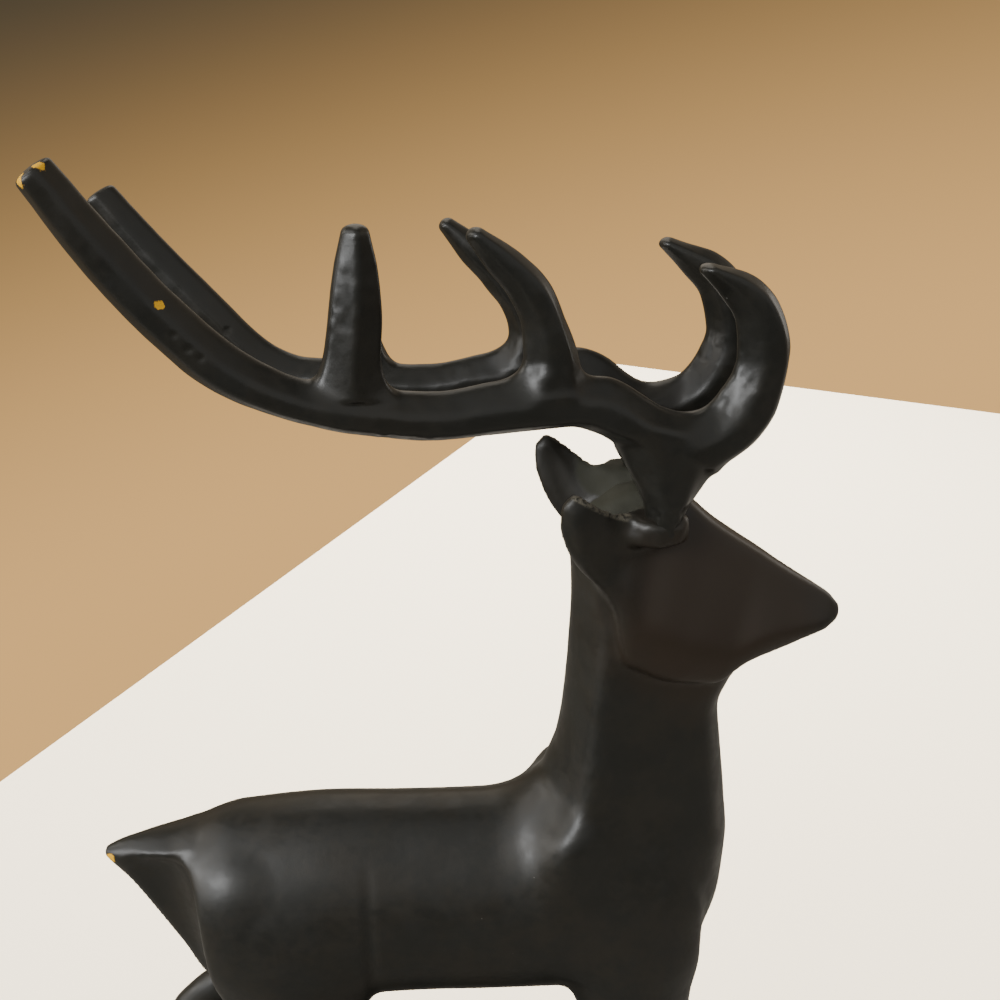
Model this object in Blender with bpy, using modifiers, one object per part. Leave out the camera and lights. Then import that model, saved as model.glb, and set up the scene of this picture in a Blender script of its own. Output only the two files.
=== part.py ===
"""A small standing stag with long swept-back antlers, on a low base.

Three castings: the stag itself, with its base, and two antlers that are fixed to the crown.
The stag looks along +X, +Y is its left side and +Z is up.  The origin is in the middle of
the base's flat underside.

Every limb is a loft.  A station is a chord across the limb, between two points of its
outline in the side view, with the limb's half thickness there.  A section hangs on each
chord: a polygon of flat facets whose corners are rounded.  Smooth curves run from station
to station.
"""

import math

import bmesh
import bpy
import numpy as np
from mathutils import Vector

MM = 0.001

# Driving dimensions, in millimetres.
BASE_LENGTH = 166.0
BASE_WIDTH = 60.0
BASE_THICKNESS = 6.0
BASE_EDGE_RADIUS = 1.6
BASE_END_STEPS = 16         # straight edges round each end of the base
LEG_SPACING = 13.0          # from the middle plane to a leg's own plane
SCOOP_SPACING = 22.0        # from the middle plane to the hollow beside the tail's keel
NOSE = (95.2, 188.8)        # the muzzle's foremost point, in the side view
HEAD_SLOPE = 16.0           # degrees that the head's own axis falls towards the nose
ANTLER_FOOT = (60.0, 10.5)  # where an antler's plane starts: forward, and out from the middle
ANTLER_SPLAY = 9.0          # degrees that an antler's plane opens outwards, towards the rear
LEFT_ANTLER_DROP = 7.0      # degrees that the left antler sits lower at its far end
LEFT_ANTLER_SHIFT = (3.0, 0.0, -0.5)  # how far the left antler is set from the right one's mirror
LEFT_EAR_SHIFT = (-1.6, 0.0, 0.5)  # how far the left ear's tip stands off the right one's mirror
ANTLER_PIVOT = (9.0, 221.0)  # the root, back along the antler's plane and up
ROOT_GAP = 0.3              # left between an antler's root and the crown

# How finely the limbs are lofted and melted together.
RINGS_PER_SPAN = 3
SIDES = 18                  # round a leg
TRUNK_SIDES = 24            # round the torso, neck and head
ANTLER_SIDES = 14
DOME_TURNS = (30.0, 60.0, 84.0)  # degrees at which rings stand on a domed end
BODY_MELT = {"voxel": 1.2, "rounds": 6, "kept": 0.055}
ANTLER_MELT = {"voxel": 0.8, "rounds": 4, "kept": 0.048}

# Sections.  Each facet is (direction in degrees, distance).  0 points at a chord's second
# point, 180 at its first, and 90 to the side.  The other side is the mirror image.
ROUND = ((0, 1.0), (45, 0.97), (90, 1.0), (135, 0.97), (180, 1.0))
BARREL = ((0, 1.0), (42, 0.95), (90, 1.0), (140, 0.93), (180, 1.0))
NECK_KITE = ((0, 1.0), (26, 0.90), (74, 0.77), (160, 0.94), (180, 1.0))
CHEEK = ((0, 1.0), (61, 0.70), (94, 1.0), (160, 1.06), (180, 1.0))
BOX = ((0, 1.0), (45, 1.22), (90, 1.0), (135, 1.22), (180, 1.0))
BEAM_BEVEL = ((0, 1.0), (42, 0.86), (90, 1.0), (150, 0.93), (180, 1.0))
TINE_BEVEL = ((0, 1.0), (30, 0.93), (90, 1.0), (138, 0.86), (180, 1.0))
ROOF = ((0, 1.0), (60, 0.82), (120, 0.82), (180, 1.0))
GABLE = ((0, 1.0), (55, 0.80), (100, 1.0), (150, 1.05), (180, 1.0))
SOFT, CRISP, EDGED = 7.0, 14.0, 22.0  # how sharp the corners between a section's facets are

TORSO = (  # lower outline, upper outline, half width
    ((-76.2, 130.2), (-76.2, 133.0), 1.6),
    ((-72.6, 125.4), (-72.6, 134.6), 3.6),
    ((-66.0, 112.2), (-66.0, 136.0), 6.4),
    ((-61.2, 102.4), (-61.2, 136.8), 10.0),
    ((-56.2, 92.0), (-56.2, 138.0), 16.0),
    ((-45.0, 86.0), (-45.0, 141.4), 20.6),
    ((-25.0, 85.5), (-25.0, 143.0), 20.5),
    ((-5.0, 85.0), (-5.0, 142.0), 20.0),
    ((15.0, 84.0), (15.0, 141.4), 20.3),
    ((34.0, 83.0), (34.0, 146.5), 21.0),
    ((52.0, 83.0), (52.0, 141.0), 20.0),
    ((62.0, 89.0), (63.0, 135.0), 14.5),
    ((67.4, 101.0), (67.4, 126.0), 8.0),
)

NECK = (  # nape, throat, half width
    ((33.2, 209.0), (62.0, 203.0), 9.5),
    ((33.9, 202.0), (68.0, 192.5), 11.3),
    ((34.1, 195.0), (76.6, 181.5), 12.0),
    ((33.7, 182.0), (72.2, 173.8), 12.8),
    ((32.8, 168.3), (69.9, 166.5), 13.3),
    ((31.2, 157.0), (71.6, 154.0), 14.6),
    ((28.9, 148.0), (73.4, 141.0), 16.0),
    ((23.0, 139.6), (75.0, 127.0), 18.4),
    ((18.0, 122.0), (74.6, 113.0), 18.8),
    ((24.0, 104.0), (71.0, 99.0), 18.0),
    ((36.0, 94.0), (66.4, 88.0), 14.0),
)

HEAD = (  # distance back from the nose, jaw, forehead, half width, in the head's own frame
    (0.0, -1.8, 2.8, 2.6),
    (2.5, -3.8, 4.4, 4.6),
    (6.5, -6.1, 5.9, 6.2),
    (12.0, -9.3, 7.6, 8.4),
    (17.5, -12.3, 9.4, 10.6),
    (20.5, -14.6, 10.5, 11.6),
    (23.0, -17.8, 11.4, 12.3),
    (26.0, -21.0, 12.4, 13.2),
    (36.0, -22.2, 16.0, 15.2),
    (44.0, -21.2, 19.8, 15.8),
    (48.6, -20.0, 20.8, 15.7),
    (51.0, -15.8, 20.7, 15.4),
    (54.0, -8.8, 19.8, 14.8),
    (58.5, -2.8, 17.2, 12.6),
    (61.5, 1.6, 13.4, 9.0),
)

HIND_LEG = (  # rear outline, front outline, half thickness
    ((-47.0, 127.0), (-28.0, 128.0), 1.0),
    ((-53.0, 121.0), (-18.0, 122.0), 5.4),
    ((-54.5, 114.0), (-14.0, 114.0), 8.2),
    ((-54.0, 108.0), (-13.5, 106.0), 10.0),
    ((-50.5, 98.0), (-15.5, 93.0), 9.8),
    ((-49.0, 89.0), (-25.0, 80.5), 8.2),
    ((-53.5, 82.5), (-40.0, 72.5), 6.4),
    ((-59.5, 77.5), (-51.0, 69.0), 5.0),
    ((-66.0, 72.0), (-59.0, 64.5), 4.4),
    ((-71.8, 63.5), (-63.6, 58.5), 4.4),
    ((-71.5, 52.0), (-63.5, 51.0), 3.9),
    ((-69.0, 34.0), (-62.3, 34.0), 3.5),
    ((-69.6, 20.0), (-61.6, 21.5), 4.0),
    ((-66.8, 13.0), (-59.6, 15.0), 3.6),
    ((-67.0, 10.0), (-58.0, 11.0), 4.3),
    ((-68.0, 4.5), (-55.0, 4.5), 5.2),
)

FORE_LEG = (  # rear outline, front outline, half thickness
    ((42.0, 131.0), (56.0, 132.0), 1.0),
    ((37.0, 124.0), (61.0, 125.0), 3.4),
    ((34.0, 114.0), (66.4, 114.0), 6.4),
    ((34.0, 100.0), (67.2, 100.0), 9.0),
    ((36.0, 88.0), (65.8, 88.0), 9.0),
    ((40.5, 76.0), (65.6, 77.0), 7.8),
    ((45.5, 64.0), (66.5, 65.0), 6.2),
    ((50.0, 54.0), (65.2, 54.5), 5.2),
    ((52.6, 45.5), (64.8, 46.0), 4.9),
    ((54.3, 38.0), (63.2, 38.0), 4.1),
    ((55.3, 27.0), (62.2, 27.0), 3.6),
    ((54.6, 18.0), (62.6, 19.5), 4.1),
    ((56.4, 12.5), (64.0, 14.5), 3.7),
    ((55.6, 10.0), (65.8, 11.0), 4.4),
    ((54.8, 4.5), (69.0, 4.5), 5.3),
)

TAIL_SCOOP = (  # the hollow beside the keel under the tail: rear, front, half width
    ((-84.0, 130.4), (-58.2, 136.0), 16.5),
    ((-87.0, 125.0), (-54.2, 132.4), 18.8),
    ((-88.0, 114.0), (-53.2, 124.0), 19.6),
    ((-86.0, 100.0), (-52.0, 110.0), 19.8),
    ((-80.0, 84.0), (-50.2, 97.0), 19.8),
    ((-72.0, 70.0), (-49.0, 88.0), 19.2),
)

TAIL_ROOF = (  # the ledge over the hollow: lower outline, upper outline, half width
    ((-76.2, 131.0), (-76.2, 133.0), 1.5),
    ((-70.5, 131.6), (-70.5, 135.0), 3.6),
    ((-65.0, 132.2), (-65.0, 136.2), 5.4),
    ((-60.0, 133.0), (-60.0, 136.8), 6.6),
    ((-55.0, 135.0), (-55.0, 138.0), 6.6),
)

EAR = (  # rim, ridge, rear edge, each forward, out and up; thickness
    ((52.0, 6.0, 212.0), (45.5, 12.0, 199.0), (43.5, 10.5, 200.0), 3.4),
    ((47.3, 9.5, 217.6), (39.8, 14.8, 204.0), (37.6, 12.8, 205.2), 3.2),
    ((42.0, 13.0, 221.3), (35.8, 16.8, 209.5), (32.8, 13.6, 210.3), 2.9),
    ((37.2, 16.0, 224.4), (33.6, 18.2, 216.0), (29.9, 14.8, 215.8), 2.6),
    ((33.6, 17.2, 226.9), (32.2, 18.8, 222.0), (28.5, 16.0, 221.2), 2.2),
    ((30.8, 17.0, 228.4), (30.8, 18.0, 226.6), (28.6, 16.8, 225.6), 1.7),
)

# An antler lies in its own plane: distances back from its foot, and up.
BEAM = (  # rear and lower outline, front and upper outline, half thickness
    ((12.6, 216.0), (6.2, 216.6), 4.2),
    ((13.4, 222.4), (4.1, 222.4), 4.6),
    ((15.4, 227.4), (1.2, 226.8), 5.2),
    ((18.0, 232.4), (-1.6, 232.0), 5.5),
    ((20.6, 237.2), (0.4, 240.0), 5.6),
    ((25.0, 240.2), (10.6, 244.0), 5.6),
    ((31.0, 242.0), (24.0, 251.5), 5.4),
    ((42.0, 241.7), (41.5, 252.2), 5.2),
    ((55.0, 241.5), (54.6, 250.9), 5.0),
    ((70.0, 243.8), (67.6, 252.4), 5.0),
    ((83.6, 248.1), (79.2, 254.9), 4.8),
    ((96.0, 254.6), (89.4, 260.7), 4.6),
    ((106.0, 265.0), (98.8, 270.2), 4.4),
    ((114.5, 277.0), (107.5, 281.5), 4.2),
    ((121.6, 289.9), (116.0, 293.8), 4.0),
)

BROW_TINE = (  # inner outline, outer outline, half thickness
    ((12.0, 239.0), (-1.6, 229.9), 5.0),
    ((4.8, 241.4), (-9.5, 235.5), 5.2),
    ((-0.8, 246.0), (-13.7, 242.8), 5.0),
    ((-4.0, 253.1), (-15.0, 253.5), 4.6),
    ((-3.2, 259.7), (-11.5, 263.8), 4.2),
    ((0.4, 265.2), (-5.4, 269.4), 3.6),
    ((4.9, 270.0), (1.9, 271.6), 2.8),
)

MIDDLE_TINE = (  # rear outline, front outline, half thickness
    ((42.4, 249.5), (27.4, 249.5), 5.0),
    ((39.4, 256.2), (29.0, 257.0), 4.8),
    ((39.8, 262.0), (31.3, 262.8), 4.5),
    ((42.3, 267.7), (34.3, 269.5), 4.1),
    ((46.6, 273.3), (40.6, 276.0), 3.5),
    ((49.7, 278.0), (46.9, 280.0), 2.7),
)

REAR_TINE = (  # rear outline, front outline, half thickness
    ((78.6, 252.5), (64.2, 251.0), 4.8),
    ((76.1, 258.8), (66.0, 258.0), 4.6),
    ((74.8, 266.0), (65.4, 266.0), 4.3),
    ((73.5, 273.5), (65.7, 273.5), 3.8),
    ((71.7, 280.4), (66.9, 280.4), 3.1),
)

# The left antler came out of its mould a little different.
LEFT_END = (90.0, 30.0, 1.1, 2.9)  # its drawn-out end: start, length, further back, further up
LEFT_BENDS = (  # where its casting differs: back, up, reach each way, then how far back and up
    (89.5, 256.0, 13.0, 60.0, 0.0, -2.4),  # the beam sags behind the rear tine
    (39.5, 257.5, 9.0, 9.0, -1.6, 0.0),  # a thinner middle tine
    (49.0, 282.0, 12.0, 14.0, -0.3, 1.4),  # with a taller tip
    (8.0, 275.0, 14.0, 16.0, -0.7, 1.2),  # and a taller brow tine
    (70.0, 278.0, 10.0, 20.0, -1.0, 0.0),  # a rear tine that leans forward
    (11.0, 243.0, 9.0, 9.0, 0.0, -1.5),  # a dip in the beam above the root
    (14.0, 226.0, 9.0, 12.0, 1.9, 0.0),  # and a thicker root
)


def curve_through(table, positions):
    """Values of a table's columns at fractional row numbers, on smooth curves.

    Cubic Hermite curves whose slope is the harmonic mean of the two neighbouring steps
    where they agree in sign, and zero where they don't, so a column never overshoots.
    """
    table = np.asarray(table, dtype=float)
    steps = np.diff(table, axis=0)
    before, after = steps[:-1], steps[1:]
    product = before * after
    total = np.where(np.abs(before + after) > 1e-12, before + after, 1.0)
    inner = np.where(product > 0.0, 2.0 * product / total, 0.0)
    slopes = np.vstack([steps[:1], inner, steps[-1:]])
    row = np.clip(positions.astype(int), 0, len(table) - 2)
    u = (positions - row)[:, None]
    start = (1 + 2 * u) * (1 - u) ** 2 * table[row] + u * (1 - u) ** 2 * slopes[row]
    end = u * u * (3 - 2 * u) * table[row + 1] + u * u * (u - 1) * slopes[row + 1]
    return start + end


def section(facets, sides, softness):
    """A unit section: in each direction, the power mean of the distances to its facets.

    It is stretched to reach exactly 1 along the chord each way, and 1 to the sides.
    """
    turn = np.arange(sides) * 2 * math.pi / sides
    total = np.zeros(sides)
    for degrees, distance in facets:
        for side in ((1,) if degrees in (0, 180) else (1, -1)):
            reach = np.cos(turn - side * math.radians(degrees)) / distance
            total += np.maximum(reach, 0.0) ** softness
    radius = total ** (-1.0 / softness)
    along, out = radius * np.cos(turn), radius * np.sin(turn)
    along = np.where(along > 0.0, along / radius[0], along / radius[sides // 2])
    return along, out / out.max()


def solid_from_rings(name, rings):
    """A closed mesh object: quads between neighbouring rings, and a face over each end."""
    shape = bmesh.new()
    loops = [[shape.verts.new(Vector(point) * MM) for point in ring] for ring in rings]
    count = len(loops[0])
    for lower, upper in zip(loops, loops[1:]):
        for i in range(count):
            j = (i + 1) % count
            shape.faces.new((lower[i], lower[j], upper[j], upper[i]))
    shape.faces.new(loops[0][::-1])
    shape.faces.new(loops[-1])
    bmesh.ops.triangulate(shape, faces=[f for f in shape.faces if len(f.verts) > 4])
    bmesh.ops.recalc_face_normals(shape, faces=shape.faces)
    mesh = bpy.data.meshes.new(name)
    shape.to_mesh(mesh)
    shape.free()
    mesh.shade_smooth()
    mesh.set_sharp_from_angle(angle=math.radians(40))
    return bpy.data.objects.new(name, mesh)


def limb(name, stations, facets, place, dome=(0.0, 0.0), sides=SIDES, softness=SOFT):
    """A loft over stations, with an optional dome of a given height over each end.

    `place` turns side-view points (along, up) and a sideways distance into X, Y and Z.
    """
    table = np.array([(*first, *second, half) for first, second, half in stations])
    rows = np.linspace(0, len(table) - 1, (len(table) - 1) * RINGS_PER_SPAN + 1)
    values = curve_through(table, rows)
    first, second, half = values[:, 0:2], values[:, 2:4], values[:, 4]
    middle, reach = (first + second) / 2, (second - first) / 2
    for end, height in zip((0, -1), dome):
        if not height:
            continue
        heading = middle[end] - middle[1 if end == 0 else -2]
        heading = heading / np.linalg.norm(heading)
        swing = np.radians(DOME_TURNS)[:, None]
        more = (middle[end] + heading * height * np.sin(swing), reach[end] * np.cos(swing),
                half[end] * np.cos(swing[:, 0]))
        if end == 0:
            middle, reach, half = (np.concatenate([extra[::-1], kept])
                                   for extra, kept in zip(more, (middle, reach, half)))
        else:
            middle, reach, half = (np.concatenate([kept, extra])
                                   for extra, kept in zip(more, (middle, reach, half)))
    along_chord, sideways = section(facets, sides, softness)
    flat = middle[:, None, :] + reach[:, None, :] * along_chord[None, :, None]
    rings = place(flat[..., 0], flat[..., 1], half[:, None] * sideways[None, :])
    return solid_from_rings(name, rings)


def at_side(offset):
    """Places side-view points in a vertical plane at a fixed distance from the middle."""
    return lambda along, up, out: np.stack([along, offset + out, up], axis=-1)


def bend(along, up):
    """The left antler's flat points moved by its bends, each a soft bump, and its drawn-out end."""
    end = np.maximum(along - LEFT_END[0], 0.0) / LEFT_END[1]
    new_along, new_up = along + LEFT_END[2] * end * end, up + LEFT_END[3] * end * end
    for back_at, up_at, wide, tall, further_back, further_up in LEFT_BENDS:
        gap = ((along - back_at) / wide) ** 2 + ((up - up_at) / tall) ** 2
        share = np.maximum(1.0 - gap, 0.0) ** 2
        new_along = new_along + further_back * share
        new_up = new_up + further_up * share
    return new_along, new_up


def in_antler_plane(side, drop, shift, bent):
    """Places an antler's flat points in its splayed plane, tipped down and shifted."""
    splay, tip = math.radians(ANTLER_SPLAY), math.radians(drop)
    back = np.array([-math.cos(splay), side * math.sin(splay), 0.0])
    outward = np.array([math.sin(splay), side * math.cos(splay), 0.0])
    foot = np.array([ANTLER_FOOT[0], side * ANTLER_FOOT[1], 0.0]) + shift

    def place(along, up, out):
        if bent:
            along, up = bend(along, up)
        far, high = along - ANTLER_PIVOT[0], up - ANTLER_PIVOT[1]
        along = ANTLER_PIVOT[0] + far * math.cos(tip) + high * math.sin(tip)
        up = ANTLER_PIVOT[1] + high * math.cos(tip) - far * math.sin(tip)
        flat = along[..., None] * back + out[..., None] * outward
        flat[..., 2] += up
        return foot + flat

    return place


def head_stations():
    """The head's stations turned from its own frame into the side view."""
    slope = math.radians(HEAD_SLOPE)
    back = np.array([-math.cos(slope), math.sin(slope)])
    up = np.array([math.sin(slope), math.cos(slope)])
    nose = np.array(NOSE)
    return [(nose + distance * back + jaw * up, nose + distance * back + brow * up, half)
            for distance, jaw, brow, half in HEAD]


def ear(name, side):
    """A folded leaf: each ring runs from the rim over the ridge to the rear edge, and back."""
    table = np.array([(*rim, *ridge, *rear, thick) for rim, ridge, rear, thick in EAR])
    rows = np.linspace(0, len(table) - 1, (len(table) - 1) * RINGS_PER_SPAN + 1)
    values = curve_through(table, rows)[:, None, :]
    rim, ridge, rear, thick = values[..., 0:3], values[..., 3:6], values[..., 6:9], values[..., 9:]
    t = np.linspace(0.0, 1.0, 11)[None, :, None]
    fold = np.where(t < 0.7, rim + (ridge - rim) * t / 0.7, ridge + (rear - ridge) * (t - 0.7) / 0.3)
    curve = (1 - t) ** 2 * rim + 2 * t * (1 - t) * ridge + t * t * rear
    outer = 0.8 * fold + 0.2 * curve
    inner = outer + thick * (0.55 + 1.5 * np.sin(math.pi * t ** 1.4)) * np.array([0.25, -0.95, 0.15])
    rings = np.concatenate([outer, inner[:, ::-1]], axis=1)
    if side > 0:
        rings = rings + np.array(LEFT_EAR_SHIFT) * (rows / rows[-1])[:, None, None]
    return solid_from_rings(name, rings * (1, side, 1))


def base_plate(name):
    """A flat plate with half-round ends and softened edges."""
    outline = []
    radius = BASE_WIDTH / 2
    for centre, start in ((BASE_LENGTH / 2 - radius, -90.0), (radius - BASE_LENGTH / 2, 90.0)):
        for step in range(BASE_END_STEPS + 1):
            turn = math.radians(start + step * 180.0 / BASE_END_STEPS)
            outline.append((centre + radius * math.cos(turn), radius * math.sin(turn)))
    rings = [[(x, y, z) for x, y in outline] for z in (0.0, BASE_THICKNESS)]
    plate = solid_from_rings(name, rings)
    bevel = plate.modifiers.new("Soft edge", "BEVEL")
    bevel.width = BASE_EDGE_RADIUS * MM
    bevel.segments = 2
    bevel.limit_method = "ANGLE"
    bevel.angle_limit = math.radians(60)
    return plate


def material(name, colour, roughness, metallic):
    """A plain Principled material."""
    made = bpy.data.materials.new(name)
    made.use_nodes = True
    shader = made.node_tree.nodes["Principled BSDF"]
    shader.inputs["Base Color"].default_value = (*colour, 1.0)
    shader.inputs["Roughness"].default_value = roughness
    shader.inputs["Metallic"].default_value = metallic
    return made


def collection(name):
    made = bpy.data.collections.new(name)
    bpy.context.scene.collection.children.link(made)
    return made


def cut(target, helper, operation):
    """One Boolean step."""
    step = target.modifiers.new(f"{operation.title()} {helper.name}", "BOOLEAN")
    step.operation = operation
    step.solver = "EXACT"
    step.object = helper


def combine(target, helpers, operation, tools):
    """One Boolean step on the target for each helper, which is kept aside as a guide."""
    for helper in helpers:
        tools.objects.link(helper)
        helper.hide_render = True
        helper.display_type = "WIRE"
        cut(target, helper, operation)


def soften(thing, voxel, rounds, kept):
    """Melts the joins between limbs: an even skin, smoothed, then thinned to few faces."""
    skin = thing.modifiers.new("Even skin", "REMESH")
    skin.mode = "VOXEL"
    skin.voxel_size = voxel * MM
    melt = thing.modifiers.new("Melt joins", "SMOOTH")
    melt.factor = 0.5
    melt.iterations = rounds
    thin = thing.modifiers.new("Thin faces", "DECIMATE")
    thin.ratio = kept


def make_body(parts, tools, coat):
    """Torso, neck, head, ears, legs and base in one casting."""
    middle = at_side(0.0)
    body = limb("stag_body", TORSO, BARREL, middle, dome=(0.8, 3.0), sides=TRUNK_SIDES)
    parts.objects.link(body)
    scoops = [limb(f"tail_scoop_{word}", TAIL_SCOOP, BOX, at_side(side * SCOOP_SPACING),
                   dome=(1.0, 0.0))
              for word, side in (("left", 1), ("right", -1))]
    neck = limb("neck", NECK, NECK_KITE, middle, sides=TRUNK_SIDES, softness=CRISP)
    head = limb("head", head_stations(), CHEEK, middle, (1.2, 2.5), TRUNK_SIDES, EDGED)
    combine(body, [neck, head], "UNION", tools)
    for word, side in (("left", 1), ("right", -1)):
        combine(body, [ear(f"ear_{word}", side)], "UNION", tools)
        plane = at_side(side * LEG_SPACING)
        combine(body, [limb(f"hind_leg_{word}", HIND_LEG, ROUND, plane),
                       limb(f"fore_leg_{word}", FORE_LEG, ROUND, plane)], "UNION", tools)
    combine(body, scoops, "DIFFERENCE", tools)
    combine(body, [limb("tail_roof", TAIL_ROOF, GABLE, middle, softness=CRISP)], "UNION", tools)
    soften(body, **BODY_MELT)
    combine(body, [base_plate("base")], "UNION", tools)
    body.data.materials.append(coat)
    return body


def crown_seat(body, tools):
    """A copy of the body, swollen by the root gap, that cuts each antler's foot to fit."""
    bpy.context.view_layer.update()
    evaluated = body.evaluated_get(bpy.context.evaluated_depsgraph_get())
    seat = bpy.data.objects.new("crown_seat", bpy.data.meshes.new_from_object(evaluated))
    swell = seat.modifiers.new("Swell", "DISPLACE")
    swell.strength = ROOT_GAP * MM
    swell.mid_level = 0.0
    seat.hide_render = True
    seat.display_type = "WIRE"
    tools.objects.link(seat)
    return seat


def make_antler(word, side, drop, shift, bent, seat, parts, tools, coat):
    """A beam with three tines, cast in one piece."""
    place = in_antler_plane(side, drop, shift, bent)
    antler = limb(f"antler_{word}", BEAM, BEAM_BEVEL, place, (0.0, 0.8), ANTLER_SIDES, CRISP)
    parts.objects.link(antler)
    tines = [("brow", BROW_TINE, TINE_BEVEL), ("middle", MIDDLE_TINE, TINE_BEVEL),
             ("rear", REAR_TINE, ROOF)]
    combine(antler, [limb(f"{tine}_tine_{word}", stations, facets, place, (0.0, 1.4),
                          ANTLER_SIDES, CRISP) for tine, stations, facets in tines],
            "UNION", tools)
    soften(antler, **ANTLER_MELT)
    cut(antler, seat, "DIFFERENCE")
    antler.data.materials.append(coat)
    return antler


def main():
    for thing in list(bpy.data.objects):
        bpy.data.objects.remove(thing, do_unlink=True)
    parts = collection("Standing stag")
    tools = collection("Guides and cutters")
    coat = material("Black satin coat", (0.018, 0.017, 0.015), 0.38, 0.0)
    seat = crown_seat(make_body(parts, tools, coat), tools)
    make_antler("right", -1, 0.0, (0.0, 0.0, 0.0), False, seat, parts, tools, coat)
    make_antler("left", 1, LEFT_ANTLER_DROP, LEFT_ANTLER_SHIFT, True, seat, parts, tools, coat)


main()
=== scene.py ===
"""A standing stag of cast metal under a black satin coat, with long swept-back antlers.

Three pieces dress the three solids of the frame: the stag with its low base, and two antlers.
The stag looks along +X, +Y is its left side and +Z is up.  Lengths inside the shape functions
are millimetres.  Every limb is a smooth loft over stations in the side view.  The lofts are
melted together on a fine lattice of distances, each joint as softly as it needs, and the skin
is taken where the distance is zero.
"""

import math

import bpy
import numpy as np
import openvdb as vdb
from bpy.props import FloatProperty, FloatVectorProperty, PointerProperty
from bpy.types import Operator, Panel, PropertyGroup
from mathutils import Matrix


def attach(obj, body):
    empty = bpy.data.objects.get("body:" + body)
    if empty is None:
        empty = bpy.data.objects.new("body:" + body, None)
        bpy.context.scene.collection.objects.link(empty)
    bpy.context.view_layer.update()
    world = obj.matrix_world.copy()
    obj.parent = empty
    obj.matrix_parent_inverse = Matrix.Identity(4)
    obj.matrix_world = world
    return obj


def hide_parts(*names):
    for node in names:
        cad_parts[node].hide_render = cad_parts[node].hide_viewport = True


bl_info = {
    "name": "Standing stag",
    "version": (1, 0, 0),
    "blender": (4, 5, 0),
    "location": "3D View > Sidebar > Stag",
    "description": "A cast stag with swept-back antlers on a low base",
    "category": "Add Mesh",
}

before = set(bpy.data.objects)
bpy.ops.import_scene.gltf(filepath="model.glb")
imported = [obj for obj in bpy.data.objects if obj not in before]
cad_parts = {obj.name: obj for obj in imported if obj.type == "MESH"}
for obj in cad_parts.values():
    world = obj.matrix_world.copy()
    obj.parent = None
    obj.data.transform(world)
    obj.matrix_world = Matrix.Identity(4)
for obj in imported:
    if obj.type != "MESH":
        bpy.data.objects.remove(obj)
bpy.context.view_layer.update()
MM = 0.001

# ---------------------------------------------------------------- stations of each limb
# Facets of a section: (direction in degrees, distance).  0 points at a chord's second point,
# 180 at its first and 90 to the side.  The other side is the mirror image.
ROUND = ((0, 1), (45, 0.97), (90, 1), (135, 0.97), (180, 1))
BARREL = ((0, 1), (42, 0.95), (90, 1), (140, 0.93), (180, 1))
NECK_KITE = ((0, 1), (26, 0.90), (74, 0.77), (160, 0.94), (180, 1))
CHEEK = ((0, 1), (61, 0.70), (94, 1), (160, 1.06), (180, 1))
BOX = ((0, 1), (45, 1.22), (90, 1), (135, 1.22), (180, 1))
BEAM_BEVEL = ((0, 1), (42, 0.86), (90, 1), (150, 0.93), (180, 1))
TINE_BEVEL = ((0, 1), (30, 0.93), (90, 1), (138, 0.86), (180, 1))
ROOF = ((0, 1), (60, 0.82), (120, 0.82), (180, 1))
GABLE = ((0, 1), (55, 0.80), (100, 1), (150, 1.05), (180, 1))

# How crisp the edges between the facets are: the power of the mean that joins them.
WORN, BEVELLED, SHARP = 7, 14, 22

TORSO = (  # lower outline, upper outline, half width
    ((-76.2, 130.2), (-76.2, 133), 1.6),
    ((-72.6, 125.4), (-72.6, 134.6), 3.6),
    ((-66, 112.2), (-66, 136), 6.4),
    ((-61.2, 102.4), (-61.2, 136.8), 10),
    ((-56.2, 92), (-56.2, 138), 16),
    ((-45, 86), (-45, 141.4), 20.6),
    ((-25, 85.5), (-25, 143), 20.5),
    ((-5, 85), (-5, 142), 20),
    ((15, 84), (15, 141.4), 20.3),
    ((34, 83), (34, 146.5), 21),
    ((52, 83), (52, 141), 20),
    ((62, 89), (63, 135), 14.5),
    ((67.4, 101), (67.4, 126), 8),
)

NECK = (  # nape, throat, half width
    ((33.2, 209), (62, 203), 9.5),
    ((33.9, 202), (68, 192.5), 11.3),
    ((34.1, 195), (76.6, 181.5), 12),
    ((33.7, 182), (72.2, 173.8), 12.8),
    ((32.8, 168.3), (69.9, 166.5), 13.3),
    ((31.2, 157), (71.6, 154), 14.6),
    ((28.9, 148), (73.4, 141), 16),
    ((23, 139.6), (75, 127), 18.4),
    ((18, 122), (74.6, 113), 18.8),
    ((24, 104), (71, 99), 18),
    ((36, 94), (66.4, 88), 14),
)

HEAD = (  # distance back from the nose, jaw, forehead, half width, in the head's own frame
    (0, -1.8, 2.8, 2.6),
    (2.5, -3.8, 4.4, 4.6),
    (6.5, -6.1, 5.9, 6.2),
    (12, -9.3, 7.6, 8.4),
    (17.5, -12.3, 9.4, 10.6),
    (20.5, -14.6, 10.5, 11.6),
    (23, -17.8, 11.4, 12.3),
    (26, -21, 12.4, 13.2),
    (36, -22.2, 16, 15.2),
    (44, -21.2, 19.8, 15.8),
    (48.6, -20, 20.8, 15.7),
    (51, -15.8, 20.7, 15.4),
    (54, -8.8, 19.8, 14.8),
    (58.5, -2.8, 17.2, 12.6),
    (61.5, 1.6, 13.4, 9),
)

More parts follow.
